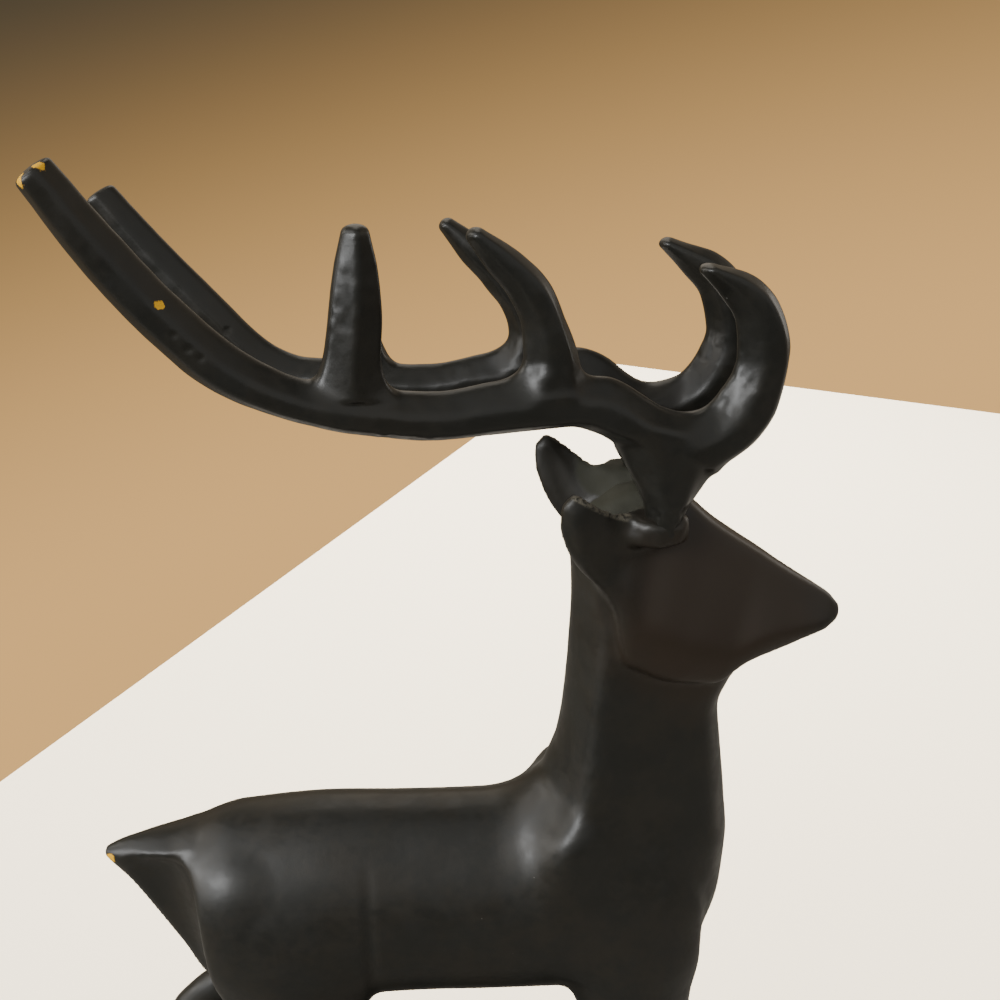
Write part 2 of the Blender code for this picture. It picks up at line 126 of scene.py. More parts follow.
HIND_LEG = (  # rear outline, front outline, half thickness
    ((-47, 127), (-28, 128), 1),
    ((-53, 121), (-18, 122), 5.4),
    ((-54.5, 114), (-14, 114), 8.2),
    ((-54, 108), (-13.5, 106), 10),
    ((-50.5, 98), (-15.5, 93), 9.8),
    ((-49, 89), (-25, 80.5), 8.2),
    ((-53.5, 82.5), (-40, 72.5), 6.4),
    ((-59.5, 77.5), (-51, 69), 5),
    ((-66, 72), (-59, 64.5), 4.4),
    ((-71.8, 63.5), (-63.6, 58.5), 4.4),
    ((-71.5, 52), (-63.5, 51), 3.9),
    ((-69, 34), (-62.3, 34), 3.5),
    ((-69.6, 20), (-61.6, 21.5), 4),
    ((-66.8, 13), (-59.6, 15), 3.6),
    ((-67, 10), (-58, 11), 4.3),
    ((-68, 4.5), (-55, 4.5), 5.2),
)

FORE_LEG = (  # rear outline, front outline, half thickness
    ((42, 131), (56, 132), 1),
    ((37, 124), (61, 125), 3.4),
    ((34, 114), (66.4, 114), 6.4),
    ((34, 100), (67.2, 100), 9),
    ((36, 88), (65.8, 88), 9),
    ((40.5, 76), (65.6, 77), 7.8),
    ((45.5, 64), (66.5, 65), 6.2),
    ((50, 54), (65.2, 54.5), 5.2),
    ((52.6, 45.5), (64.8, 46), 4.9),
    ((54.3, 38), (63.2, 38), 4.1),
    ((55.3, 27), (62.2, 27), 3.6),
    ((54.6, 18), (62.6, 19.5), 4.1),
    ((56.4, 12.5), (64, 14.5), 3.7),
    ((55.6, 10), (65.8, 11), 4.4),
    ((54.8, 4.5), (69, 4.5), 5.3),
)

TAIL_SCOOP = (  # the hollow beside the keel under the tail: rear, front, half width
    ((-84, 130.4), (-58.2, 136), 16.5),
    ((-87, 125), (-54.2, 132.4), 18.8),
    ((-88, 114), (-53.2, 124), 19.6),
    ((-86, 100), (-52, 110), 19.8),
    ((-80, 84), (-50.2, 97), 19.8),
    ((-72, 70), (-49, 88), 19.2),
)

TAIL_ROOF = (  # the ledge over the hollow: lower outline, upper outline, half width
    ((-76.2, 131), (-76.2, 133), 1.5),
    ((-70.5, 131.6), (-70.5, 135), 3.6),
    ((-65, 132.2), (-65, 136.2), 5.4),
    ((-60, 133), (-60, 136.8), 6.6),
    ((-55, 135), (-55, 138), 6.6),
)

EAR = (  # rim, ridge, rear edge, each forward, out and up; thickness
    ((52, 6, 212), (45.5, 12, 199), (43.5, 10.5, 200), 3.4),
    ((47.3, 9.5, 217.6), (39.8, 14.8, 204), (37.6, 12.8, 205.2), 3.2),
    ((42, 13, 221.3), (35.8, 16.8, 209.5), (32.8, 13.6, 210.3), 2.9),
    ((37.2, 16, 224.4), (33.6, 18.2, 216), (29.9, 14.8, 215.8), 2.6),
    ((33.6, 17.2, 226.9), (32.2, 18.8, 222), (28.5, 16, 221.2), 2.2),
    ((30.8, 17, 228.4), (30.8, 18, 226.6), (28.6, 16.8, 225.6), 1.7),
)

# An antler lies in its own plane: distances back from its foot, and up.
FILLERS = {  # the lumpy ring round each antler's root: rear, front, half thickness
    "right": (
        ((15.4, 214.6), (4.6, 214.6), 3.5),
        ((16.6, 216.2), (3.5, 216), 4.4),
        ((15.8, 220.4), (3.9, 220.2), 4.7)),
    "left": (
        ((20.2, 213), (3.6, 213), 4.6),
        ((20.8, 220.4), (3.2, 217.8), 5.4),
        ((19.4, 223.9), (4.2, 221.8), 4.6)),
}

BEAM = (  # rear and lower outline, front and upper outline, half thickness
    ((12.6, 216), (6.2, 216.6), 4.2),
    ((13.4, 222.4), (4.1, 222.4), 4.6),
    ((15.4, 227.4), (1.2, 226.8), 5.2),
    ((18, 232.4), (-1.6, 232), 5.5),
    ((20.6, 237.2), (0.4, 240), 5.6),
    ((25, 240.2), (10.6, 244), 5.6),
    ((31, 242), (24, 251.5), 5.4),
    ((42, 241.7), (41.5, 252.2), 5.2),
    ((55, 241.5), (54.6, 250.9), 5),
    ((70, 243.8), (67.6, 252.4), 5),
    ((83.6, 248.1), (79.2, 254.9), 4.8),
    ((96, 254.6), (89.4, 260.7), 4.6),
    ((106, 265), (98.8, 270.2), 4.4),
    ((114.5, 277), (107.5, 281.5), 4.2),
    ((121.6, 289.9), (116, 293.8), 4),
)

BROW_TINE = (  # inner outline, outer outline, half thickness
    ((12, 239), (-1.6, 229.9), 5),
    ((4.8, 241.4), (-9.5, 235.5), 5.2),
    ((-0.8, 246), (-13.7, 242.8), 5),
    ((-4, 253.1), (-15, 253.5), 4.6),
    ((-3.2, 259.7), (-11.5, 263.8), 4.2),
    ((0.4, 265.2), (-5.4, 269.4), 3.6),
    ((4.9, 270), (1.9, 271.6), 2.8),
)

MIDDLE_TINE = (  # rear outline, front outline, half thickness
    ((42.4, 249.5), (27.4, 249.5), 5),
    ((39.4, 256.2), (29, 257), 4.8),
    ((39.8, 262), (31.3, 262.8), 4.5),
    ((42.3, 267.7), (34.3, 269.5), 4.1),
    ((46.6, 273.3), (40.6, 276), 3.5),
    ((49.7, 278), (46.9, 280), 2.7),
)

REAR_TINE = (  # rear outline, front outline, half thickness
    ((78.6, 252.5), (64.2, 251), 4.8),
    ((76.1, 258.8), (66, 258), 4.6),
    ((74.8, 266), (65.4, 266), 4.3),
    ((73.5, 273.5), (65.7, 273.5), 3.8),
    ((71.7, 280.4), (66.9, 280.4), 3.1),
)

ANTLER_LIMBS = (  # stations, facets, dome over the tip, and how far it melts into the rest
    (BEAM, BEAM_BEVEL, 0.8, 0.1),
    (BROW_TINE, TINE_BEVEL, 1.4, 3),
    (MIDDLE_TINE, TINE_BEVEL, 1.4, 3),
    (REAR_TINE, ROOF, 1.4, 2.2),
)

# Heights of the domes over a limb's first and last sections.
DOMES = {"torso": (0.8, 3), "scoop": (1, 0), "head": (1.2, 2.5), "filler": (0, 0.7)}

# Two surfaces nearer than this flow together, so a greater distance makes a softer joint.
MELT = {"torso": 0.1, "leg": 4, "neck": 4, "scoop": 1.2, "tail": 0.9, "head": 1.2, "ear": 2.6,
        "right filler": 4, "left filler": 3.2}
# The body's lattice: its lowest and highest corners.
BODY_SPACE = ((-84, -26, 2), (102, 26, 236))
BODY_REACH = 7.8  # how far from the skin the lattice knows the distance
ANTLER_REACH = 4.2
ANTLER_MARGIN = 2  # room left round an antler in its lattice

NOSE = (95.2, 188.8)  # the muzzle's foremost point, in the side view
ANTLER_FOOT = (60, 10.5)  # where an antler's plane starts: forward, and out from the middle
ANTLER_PIVOT = (9, 221)  # the root, back along the antler's plane and up
LEFT_SHIFT = (3, 0, -0.5)  # how far the left antler is set from the right one's mirror
LEFT_END = (90, 30, 1.1, 2.9)  # its drawn-out end: start, length, further back, further up
LEFT_BENDS = (  # where its casting differs: back, up, reach each way, then how far back and up
    (89.5, 256, 13, 60, 0, -2.4),  # the beam sags behind the rear tine
    (39.5, 257.5, 9, 9, -1.6, 0),  # a thinner middle tine
    (49, 282, 12, 14, -0.3, 1.4),  # with a taller tip
    (8, 275, 14, 16, -0.7, 1.2),  # and a taller brow tine
    (70, 278, 10, 20, -1, 0),  # a rear tine that leans forward
    (11, 243, 9, 9, 0, -1.5),  # a dip in the beam above the root
    (14, 226, 9, 12, 1.9, 0),  # and a thicker root
)
LEFT_EAR_SHIFT = (-1.6, 0, 0.5)  # how far the left ear's tip stands off the right one's mirror
SCOOP_OFFSET = 22  # from the middle to a tail hollow's own plane
SIDES = ((1, "left"), (-1, "right"))
EAR_FOLD = 0.7  # where the ridge comes, on the way from the rim to the rear edge
EAR_CRISPNESS = 0.8  # share of the straight fold against the rounded one
EAR_INWARD = (0.25, -0.95, 0.15)  # from an ear's outer skin to its inner one
RIM_WIDTH = 1.5  # how far the grit reaches from an ear's rim
BASE_FOOT = ((0.9, 0), (0.3, 0.35), (0, 0.9))  # the plate's lower edge: inset and height
BASE_ROUNDING = 1.6  # radius of the plate's upper edge
LEVEL = 0.9999  # a face counts as level when its normal is this upright
LEVEL_SLACK = 0.02 * MM  # and it is the plate's own up to this far above its top

# Relief raised along the skin.  Lumps all over have a height, a size and a seed.
BODY_GRAIN = ((0.05, 11, 3), (0.012, 5, 5))
ANTLER_GRAIN = ((0.05, 3, 11), (0.06, 6, 17))
ANTLER_LUMPS = (1.7, 23)  # size and seed
FILLER_LUMPS = (2.6, 29)
RIM_LUMPS = (2.6, 31)
RIM_RAISED = (0.20, 0.08)  # the ears' rims: even height, and height of the lumps on it
LUMPY_SPOTS = (  # centre, radius and height of the lumps in the filler on the crown
    ((43.5, 0, 221), 9, 0.4),
    ((48, 12, 221), 11, 0.4),
    ((50.5, -14, 219.5), 9, 0.75),
)
BUMPS = (  # centre, radius and height
    ((56, -13.6, 214.4), 2.6, 0.35),  # a blob in front of the right antler
    ((29.5, 3, 150), 9, 0.8),  # the foot of the nape
)
PAIRED_BUMPS = (  # the same on both sides
    ((34, 18.5, 137), 14, 1.3),  # the shoulder
    ((-45, 18, 133), 11, 1),  # the haunch
)
FLANK_CREASE = (-14, 2.2, 113, 22, 0.55)  # forward, half width, up, half height and depth
FLANK = 12  # the crease is only this far out and beyond

# Marks in an antler's skin: back, up and out in its plane, radius, height and lumpiness.
MARKS = {
    "right": (
        (100.7, 265.6, 3.6, 1.2, -0.50, 0), (98.7, 263.1, 3.8, 1.3, -0.45, 0),
        (96.8, 261.4, 3.9, 1.1, -0.35, 0), (-3.2, 247.4, 3.2, 8.5, 0, 0.17),
        (-6.5, 256, 3.2, 6, 0, 0.08), (73, 268, 3, 9, 0, 0.09),
        (74, 276, 2, 6, 0, 0.07), (36.4, 253.4, 3.8, 3.2, 0.30, 0.10),
        (66.5, 243.8, 3.6, 6, 0, 0.30), (59, 242.6, 3.6, 5, 0, 0.20),
        (13.4, 231.5, 4, 5, -0.45, 0.10), (9, 220, 4, 9, 0, 0.28)),
    "left": (
        (98, 264.4, -3.6, 1.3, -0.50, 0), (-2.6, 249.8, -3, 8, 0, 0.22),
        (37.8, 253.4, -3.6, 4, 0.25, 0.12), (73, 266, -2, 8, 0, 0.09),
        (50, 245, -3.6, 7, 0, 0.16), (9, 220, -3, 9, 0, 0.28)),
}
# Spots where the coat has chipped off an antler: back, up and out in its plane, and radius.
CHIPS = {
    "right": ((120.5, 290.9, 2.6, 1.15), (117.4, 293.2, 2.6, 1), (102.3, 270.7, 3.6, 0.85)),
    "left": ((118.6, 296.2, -2.6, 0.6),),
}
# Spots on the body: centre and radius.
TAIL_CHIP = ((-75, -2.1, 131.3), 1.15)
DUST = (  # specks on the right side
    ((46.4, -13, 165.6), 0.42), ((48.2, -18.6, 135.2), 0.38), ((48.2, -20, 110.6), 0.36),
    ((37.8, -19.6, 121.8), 0.34), ((26, -15.8, 153.4), 0.40), ((26.6, -15.6, 154.2), 0.30),
    ((56, -13.6, 214.4), 0.60))
RINGS = (((-47.2, -18.6, 129.8), 1.1), ((-49.6, -18.6, 130.6), 1))  # ring-shaped blemishes
# Where the coat is brown, and where the crown is dull and if that is on both sides.
CHEEK_SPOT = ((68, 14, 197), 26)
CROWN_SPOTS = ((((43.5, 0, 222), 9), True), (((43, 11, 222), 7), False))
BUMP_DEPTH = 0.1 * MM  # how deep the coat's fine bumps go

# ---------------------------------------------------------------- shape functions


def curve_through(table, rows):
    """Values of a table's columns at fractional row numbers.

    Cubic Hermite curves whose slope at a row is the harmonic mean of the two neighbouring
    steps where they agree in sign, and zero where they don't, so nothing overshoots.
    """
    table = np.asarray(table, dtype=float)
    steps = np.diff(table, axis=0)
    before, after = steps[:-1], steps[1:]
    total = np.where(np.abs(before + after) > 1e-12, before + after, 1.0)
    inner = np.where(before * after > 0.0, 2.0 * before * after / total, 0.0)
    slopes = np.vstack([steps[:1], inner, steps[-1:]])
    row = np.clip(rows.astype(int), 0, len(table) - 2)
    u = (rows - row)[:, None]
    start = (1 + 2 * u) * (1 - u) ** 2 * table[row] + u * (1 - u) ** 2 * slopes[row]
    end = u * u * (3 - 2 * u) * table[row + 1] + u * u * (u - 1) * slopes[row + 1]
    return start + end


def section(facets, sides, crispness):
    """A unit section: the radius at each turn is the power mean of the facets' distances.

    It is stretched to reach exactly 1 along the chord each way, and 1 to the sides.
    """
    turn = np.arange(sides) * 2 * math.pi / sides
    total = np.zeros(sides)
    for degrees, distance in facets:
        for side in ((1,) if degrees in (0, 180) else (1, -1)):
            reach = np.cos(turn - side * math.radians(degrees)) / distance
            total += np.maximum(reach, 0.0) ** crispness
    radius = total ** (-1.0 / crispness)
    along, out = radius * np.cos(turn), radius * np.sin(turn)
    along = np.where(along > 0.0, along / radius[0], along / radius[sides // 2])
    return along, out / out.max()


def grid_surface(rings):
    """Points and triangles of a grid of rings, each ring closed, with a fan over each end."""
    count, sides = rings.shape[:2]
    points = np.concatenate([rings.reshape(-1, 3), rings[:1].mean(1), rings[-1:].mean(1)])
    i, j = np.meshgrid(np.arange(count - 1), np.arange(sides), indexing="ij")
    a, b = i * sides + j, i * sides + (j + 1) % sides
    c, d = b + sides, a + sides
    skin = np.concatenate([np.stack([a, b, c], -1), np.stack([a, c, d], -1)]).reshape(-1, 3)
    edge = np.arange(sides)
    following = (edge + 1) % sides
    first = np.stack([following, edge, np.full(sides, count * sides)], -1)
    last = np.stack([edge, following, np.full(sides, 0)], -1) + (count - 1) * sides
    last[:, 2] = count * sides + 1
    return points, np.concatenate([skin, first, last])


def limb(stations, facets, place, domes=(0.0, 0.0), crispness=WORN, sides=96, rings=12):
    """A loft: a section hung on each chord, carried along smooth curves through the stations.

    An end may close with a dome, whose rings shrink as a cosine while they rise as a sine.
    `place` turns side-view points (along, up) and a sideways distance into X, Y and Z.
    """
    table = np.array([(*first, *second, half) for first, second, half in stations])
    rows = np.linspace(0, len(table) - 1, (len(table) - 1) * rings + 1)
    values = curve_through(table, rows)
    middle = (values[:, 0:2] + values[:, 2:4]) / 2
    reach, half = (values[:, 2:4] - values[:, 0:2]) / 2, values[:, 4]
    swing = np.radians(np.linspace(10.0, 88.0, 10))[:, None]
    for end, height in zip((0, -1), domes):
        if not height:
            continue
        heading = middle[end] - middle[1 if end == 0 else -2]
        heading = heading / np.linalg.norm(heading)
        more = (middle[end] + heading * height * np.sin(swing), reach[end] * np.cos(swing),
                half[end] * np.cos(swing[:, 0]))
        pairs = zip(more, (middle, reach, half))
        if end == 0:
            middle, reach, half = (np.concatenate([new[::-1], kept]) for new, kept in pairs)
        else:
            middle, reach, half = (np.concatenate([kept, new]) for new, kept in pairs)
    along_chord, sideways = section(facets, sides, crispness)
    flat = middle[:, None, :] + reach[:, None, :] * along_chord[None, :, None]
    return grid_surface(place(flat[..., 0], flat[..., 1], half[:, None] * sideways[None, :]))


def at_side(offset):
    """Places side-view points in a vertical plane at a fixed distance from the middle."""
    return lambda along, up, out: np.stack([along, offset + out, up], axis=-1)


def in_antler_plane(side, splay, drop, shift, bent):
    """Places an antler's flat points in its splayed plane, tipped down and shifted.

    A bent antler is first moved by its bends, each a soft bump, and its end by a square law.
    """
    back = np.array([-math.cos(splay), side * math.sin(splay), 0.0])
    outward = np.array([math.sin(splay), side * math.cos(splay), 0.0])
    foot = np.array([ANTLER_FOOT[0], side * ANTLER_FOOT[1], 0.0]) + shift

    def place(along, up, out):
        if bent:
            end = np.maximum(along - LEFT_END[0], 0.0) / LEFT_END[1]
            moved = [along + LEFT_END[2] * end * end, up + LEFT_END[3] * end * end]
            for back_at, up_at, wide, tall, further_back, further_up in LEFT_BENDS:
                gap = ((along - back_at) / wide) ** 2 + ((up - up_at) / tall) ** 2
                share = np.maximum(1.0 - gap, 0.0) ** 2
                moved[0] = moved[0] + further_back * share
                moved[1] = moved[1] + further_up * share
            along, up = moved
        far, high = along - ANTLER_PIVOT[0], up - ANTLER_PIVOT[1]
        along = ANTLER_PIVOT[0] + far * math.cos(drop) + high * math.sin(drop)
        up = ANTLER_PIVOT[1] + high * math.cos(drop) - far * math.sin(drop)
        flat = along[..., None] * back + np.asarray(out)[..., None] * outward
        flat[..., 2] += up
        return foot + flat

    return place


def head_stations(slope):
    """The head's stations turned from its own frame into the side view."""
    back = np.array([-math.cos(slope), math.sin(slope)])
    up = np.array([math.sin(slope), math.cos(slope)])
    nose = np.array(NOSE)
    return [(nose + distance * back + jaw * up, nose + distance * back + brow * up, half)
            for distance, jaw, brow, half in HEAD]


def ear(side):
    """A folded leaf: each ring runs from the rim over the ridge to the rear edge, and back.

    The fold is two straight lines with a little of the Bezier curve of the same three points.
    The leaf is thin at its edges and swells, as a sine does, just before the ridge.
    """
    table = np.array([(*rim, *ridge, *rear, thick) for rim, ridge, rear, thick in EAR])
    rows = np.linspace(0, len(table) - 1, (len(table) - 1) * 10 + 1)
    values = curve_through(table, rows)[:, None, :]
    rim, ridge, rear, thick = values[..., 0:3], values[..., 3:6], values[..., 6:9], values[..., 9:]
    t = np.linspace(0.0, 1.0, 41)[None, :, None]
    fold = np.where(t < EAR_FOLD, rim + (ridge - rim) * t / EAR_FOLD,
                    ridge + (rear - ridge) * (t - EAR_FOLD) / (1 - EAR_FOLD))
    curve = (1 - t) ** 2 * rim + 2 * t * (1 - t) * ridge + t * t * rear
    outer = EAR_CRISPNESS * fold + (1 - EAR_CRISPNESS) * curve
    swelling = 0.55 + 1.5 * np.sin(math.pi * t ** 1.4)
    inner = outer + thick * swelling * np.array(EAR_INWARD)
    ring = np.concatenate([outer, inner[:, ::-1]], axis=1)
    if side > 0:
        ring = ring + np.array(LEFT_EAR_SHIFT) * (rows / rows[-1])[:, None, None]
    ring[..., 1] *= side
    return grid_surface(ring)


# ---------------------------------------------------------------- melting limbs together


class Clay:
    """A lattice of distances to a surface, negative inside, in millimetres."""

    def __init__(self, low, high, cube, reach):
        self.cube, self.reach = cube, reach
        self.low = np.floor(np.array(low) / cube).astype(int)
        self.size = np.ceil(np.array(high) / cube).astype(int) - self.low
        self.field = np.full(self.size, reach, dtype=np.float32)

    def block(self, shape):
        """The part of the lattice that a closed shape reaches, and its distances there."""
        points, triangles = shape
        grid = vdb.FloatGrid.createLevelSetFromPolygons(
            np.ascontiguousarray(points, dtype=np.float32),
            triangles=np.ascontiguousarray(triangles, dtype=np.uint32),
            transform=vdb.createLinearTransform(self.cube), halfWidth=self.reach / self.cube)
        margin = self.reach / self.cube + 1
        low = np.floor(points.min(0) / self.cube - margin).astype(int)
        high = np.ceil(points.max(0) / self.cube + margin).astype(int)
        low = np.maximum(low, self.low)
        high = np.minimum(high, self.low + self.size)
        values = np.zeros(high - low, dtype=np.float32)
        grid.copyToArray(values, ijk=tuple(int(v) for v in low))
        place = tuple(slice(a, b) for a, b in zip(low - self.low, high - self.low))
        return place, values

    def add(self, shape, melt):
        """Smooth union: the lower distance, less a parabola where both are close."""
        place, values = self.block(shape)
        kept = self.field[place]
        close = np.maximum(melt - np.abs(kept - values), 0.0)
        self.field[place] = np.minimum(kept, values) - close * close / (4 * melt)

    def carve(self, shape, melt):
        """Smooth subtraction, the same way round with the shape's distances reversed."""
        place, values = self.block(shape)
        kept = self.field[place]
        close = np.maximum(melt - np.abs(kept + values), 0.0)
        self.field[place] = np.maximum(kept, -values) + close * close / (4 * melt)

    def soften(self, rounds):
        """Each round replaces a distance with a quarter-half-quarter mean along each axis."""
        for _ in range(rounds):
            for axis in range(3):
                field = np.moveaxis(self.field, axis, 0)
                field[1:-1] = 0.25 * field[:-2] + 0.5 * field[1:-1] + 0.25 * field[2:]

    def skin(self):
        """Points in millimetres and four-sided faces where the distance is zero."""
        grid = vdb.FloatGrid(self.reach)
        grid.transform = vdb.createLinearTransform(self.cube)
        grid.copyFromArray(self.field, ijk=tuple(int(v) for v in self.low))
        points, _, quads = grid.convertToPolygons(0.0)
        points, quads = points.astype(float), quads.astype(np.int64)
        return points, outward_faces(points, quads)


def outward_faces(points, quads):
    """The faces, turned round if the volume that they close is negative."""
    a, b, c = points[quads[:, 0]], points[quads[:, 1]], points[quads[:, 2]]
    volume = np.einsum("ij,ij->i", a, np.cross(b, c)).sum()
    return quads if volume > 0 else quads[:, ::-1]


def point_normals(points, quads):
    """Each point's direction outwards: the sum of its faces' diagonal cross products."""
    cross = np.cross(points[quads[:, 2]] - points[quads[:, 0]],
                     points[quads[:, 3]] - points[quads[:, 1]])
    normals = np.zeros_like(points)
    for corner in range(4):
        for axis in range(3):
            normals[:, axis] += np.bincount(quads[:, corner], cross[:, axis], len(points))
    return normals / (np.linalg.norm(normals, axis=1, keepdims=True) + 1e-12)


def grain(points, size, seed):
    """Smooth value noise from -1 to 1: random lattice values mixed by a quintic ease."""
    cell = points / size
    corner = np.floor(cell).astype(np.int64)
    f = cell - corner
    f = f * f * f * (f * (f * 6 - 15) + 10)
    total = np.zeros(len(points))
    for dx in (0, 1):
        for dy in (0, 1):
            for dz in (0, 1):
                i, j, k = (corner + (dx, dy, dz)).T
                n = (i * 73856093) ^ (j * 19349663) ^ (k * 83492791) ^ (seed * 265443576)
                n = ((n ^ (n >> 13)) * 1274126177) & 0x7FFFFFFF
                n = ((n ^ (n >> 15)) * 668265263) & 0x7FFFFFFF
                weight = (np.abs(1 - dx - f[:, 0]) * np.abs(1 - dy - f[:, 1])
                          * np.abs(1 - dz - f[:, 2]))
                total += weight * (n / 0x3FFFFFFF - 1.0)
    return total


def uneven(points, layers):
    """Lumps all over: the sum of some layers of noise, each with a height, a size and a seed."""
    return sum(height * grain(points, size, seed) for height, size, seed in layers)


def near(points, centre, radius):
    """1 at a centre, falling smoothly to 0 at the radius."""
    gap = np.linalg.norm(points - np.array(centre), axis=1) / radius
    return np.maximum(1.0 - gap * gap, 0.0) ** 2


def ear_rims(points):
    """1 along the ears' rims, falling smoothly to 0 at RIM_WIDTH.

    The rim's curve is sampled, and each point near the ears takes its smallest distance to it.
    """
    share = np.zeros(len(points))
    rim = curve_through([row[0] for row in EAR], np.linspace(0.6, len(EAR) - 1, 61))
    for side, _ in SIDES:
        line = rim * (1, side, 1)
        if side > 0:
            line = line + np.array(LEFT_EAR_SHIFT) * np.linspace(0.1, 1.0, len(line))[:, None]
        low, high = line.min(0) - RIM_WIDTH, line.max(0) + RIM_WIDTH
        inside = np.flatnonzero(((points > low) & (points < high)).all(1))
        gap = np.linalg.norm(points[inside, None, :] - line[None, :, :], axis=2).min(1)
        share[inside] = np.maximum(1.0 - (gap / RIM_WIDTH) ** 2, 0.0)
    return share


def antler_relief(points, normals, place, marks):
    """Uneven casting: broad and fine lumps all over, with the marks of one antler on top.

    A mark is a soft bump or dent along the skin, or a patch where the fine lumps grow.
    """
    relief = uneven(points, ANTLER_GRAIN)
    lumps = grain(points, *ANTLER_LUMPS)
    for back, up, out, radius, height, rough in marks:
        centre = place(np.array(back), np.array(up), out)
        relief += near(points, centre, radius) * (height + rough * lumps)
    return points + normals * relief[:, None]


def new_piece(name, points, faces, coat):
    """A smooth-shaded object at the origin, from points in millimetres and triangles or quads."""
    mesh = bpy.data.meshes.new(name)
    mesh.vertices.add(len(points))
    mesh.vertices.foreach_set("co", (points * MM).astype(np.float32).ravel())
    mesh.loops.add(faces.size)
    mesh.loops.foreach_set("vertex_index", faces.astype(np.int32).ravel())
    mesh.polygons.add(len(faces))
    starts = np.arange(0, faces.size, faces.shape[1], dtype=np.int32)
    mesh.polygons.foreach_set("loop_start", starts)
    mesh.update(calc_edges=True)
    mesh.validate()
    mesh.shade_smooth()
    mesh.materials.append(coat)
    piece = bpy.data.objects.new(name, mesh)
    bpy.context.scene.collection.objects.link(piece)
    return piece


# ---------------------------------------------------------------- materials


def feed(tree, socket, value):
    """Links a socket to another socket, or gives it a plain value."""
    if isinstance(value, bpy.types.NodeSocket):
        tree.links.new(value, socket)
    else:
        socket.default_value = value


def node(tree, kind, inputs=None, **settings):
    """A node with some settings, whose sockets take numbers, colours or other sockets."""
    made = tree.nodes.new(kind)
    for key, value in settings.items():
        setattr(made, key, value)
    for key, value in (inputs or {}).items():
        feed(tree, made.inputs[key], value)
    return made


def maths(tree, operation, *values):
    """A sum, product or other operation on one or two values, as the output socket."""
    return node(tree, "ShaderNodeMath", dict(enumerate(values)), operation=operation).outputs[0]


def mapped(tree, value, from_low, from_high, to_low=0.0, to_high=1.0):
    """A value carried from one range to another with eased ends."""
    return node(tree, "ShaderNodeMapRange", {
        "Value": value, "From Min": from_low, "From Max": from_high,
        "To Min": to_low, "To Max": to_high}, interpolation_type="SMOOTHSTEP").outputs[0]


def noise(tree, place, scale, detail, roughness):
    """Noise from 0 to 1, with a scale in lumps a metre."""
    return node(tree, "ShaderNodeTexNoise", {
        "Vector": place, "Scale": scale, "Detail": detail,
        "Roughness": roughness}).outputs["Fac"]


def mixed(tree, factor, *colours):
    """A mix of two colours, each a socket or three numbers, as the output socket."""
    first, second = (colour if isinstance(colour, bpy.types.NodeSocket) else (*colour, 1.0)
                     for colour in colours)
    return node(tree, "ShaderNodeMix", {0: factor, 6: first, 7: second},
                data_type="RGBA").outputs[2]


def group_sockets(name, inputs, output):
    """An empty shader node group with float or vector inputs and one float output."""
    tree = bpy.data.node_groups.new(name, "ShaderNodeTree")
    for label, default in inputs:
        kind = "NodeSocketVector" if label in ("Place", "Centre") else "NodeSocketFloat"
        socket = tree.interface.new_socket(name=label, in_out="INPUT", socket_type=kind)
        if default is not None:
            socket.default_value = default
    tree.interface.new_socket(name=output, in_out="OUTPUT", socket_type="NodeSocketFloat")
    return tree, tree.nodes.new("NodeGroupInput").outputs, tree.nodes.new("NodeGroupOutput")


def noise_in_group(tree, given, size_socket, detail):
    """Noise whose scale is one over a size socket, which is in metres."""
    scale = maths(tree, "DIVIDE", 1.0, given[size_socket])
    return noise(tree, given["Place"], scale, detail, 0.55)


def build_spot_group():
    """Ragged spot: 1 inside a radius round a centre and 0 outside, with a noisy eased edge."""
    tree, given, result = group_sockets("Ragged spot", (
        ("Place", None), ("Centre", None), ("Radius", 0.001), ("Edge", 0.3), ("Ragged", 0.6),
        ("Grain", 0.0008)), "Mask")
    gap = node(tree, "ShaderNodeVectorMath", {0: given["Place"], 1: given["Centre"]},
               operation="DISTANCE").outputs["Value"]
    swing = maths(tree, "SUBTRACT", noise_in_group(tree, given, "Grain", 3.0), 0.5)
    swing = maths(tree, "MULTIPLY", maths(tree, "MULTIPLY", swing, given["Ragged"]), 2.0)
    reach = maths(tree, "ADD", maths(tree, "DIVIDE", gap, given["Radius"]), swing)
    mask = mapped(tree, reach, maths(tree, "SUBTRACT", 1.0, given["Edge"]),
                  maths(tree, "ADD", 1.0, given["Edge"]), 1.0, 0.0)
    tree.links.new(mask, result.inputs["Mask"])


def build_grain_group():
    """Cast grain: the height of broad shallow lumps plus a share of fine orange peel."""
    tree, given, result = group_sockets("Cast grain", (
        ("Place", None), ("Lump", 0.0032), ("Peel", 0.0007), ("Peel share", 0.3)), "Height")
    peel = maths(tree, "MULTIPLY", noise_in_group(tree, given, "Peel", 3.0), given["Peel share"])
    height = maths(tree, "ADD", noise_in_group(tree, given, "Lump", 2.0), peel)
    tree.links.new(height, result.inputs["Height"])


def build_mottle_group():
    """Mottle: broad patches broken up by finer ones, eased between a low and a high edge."""
    tree, given, result = group_sockets("Mottle", (
        ("Place", None), ("Patch", 0.014), ("Fleck", 0.0022), ("Low", 0.35), ("High", 0.7),
        ("Amount", 1.0)), "Mask")
    fleck = maths(tree, "MULTIPLY",
                  maths(tree, "SUBTRACT", noise_in_group(tree, given, "Fleck", 4.0), 0.5), 0.5)
    field = maths(tree, "ADD", noise_in_group(tree, given, "Patch", 3.0), fleck)
    mask = maths(tree, "MULTIPLY", mapped(tree, field, given["Low"], given["High"]),
                 given["Amount"])
    tree.links.new(mask, result.inputs["Mask"])


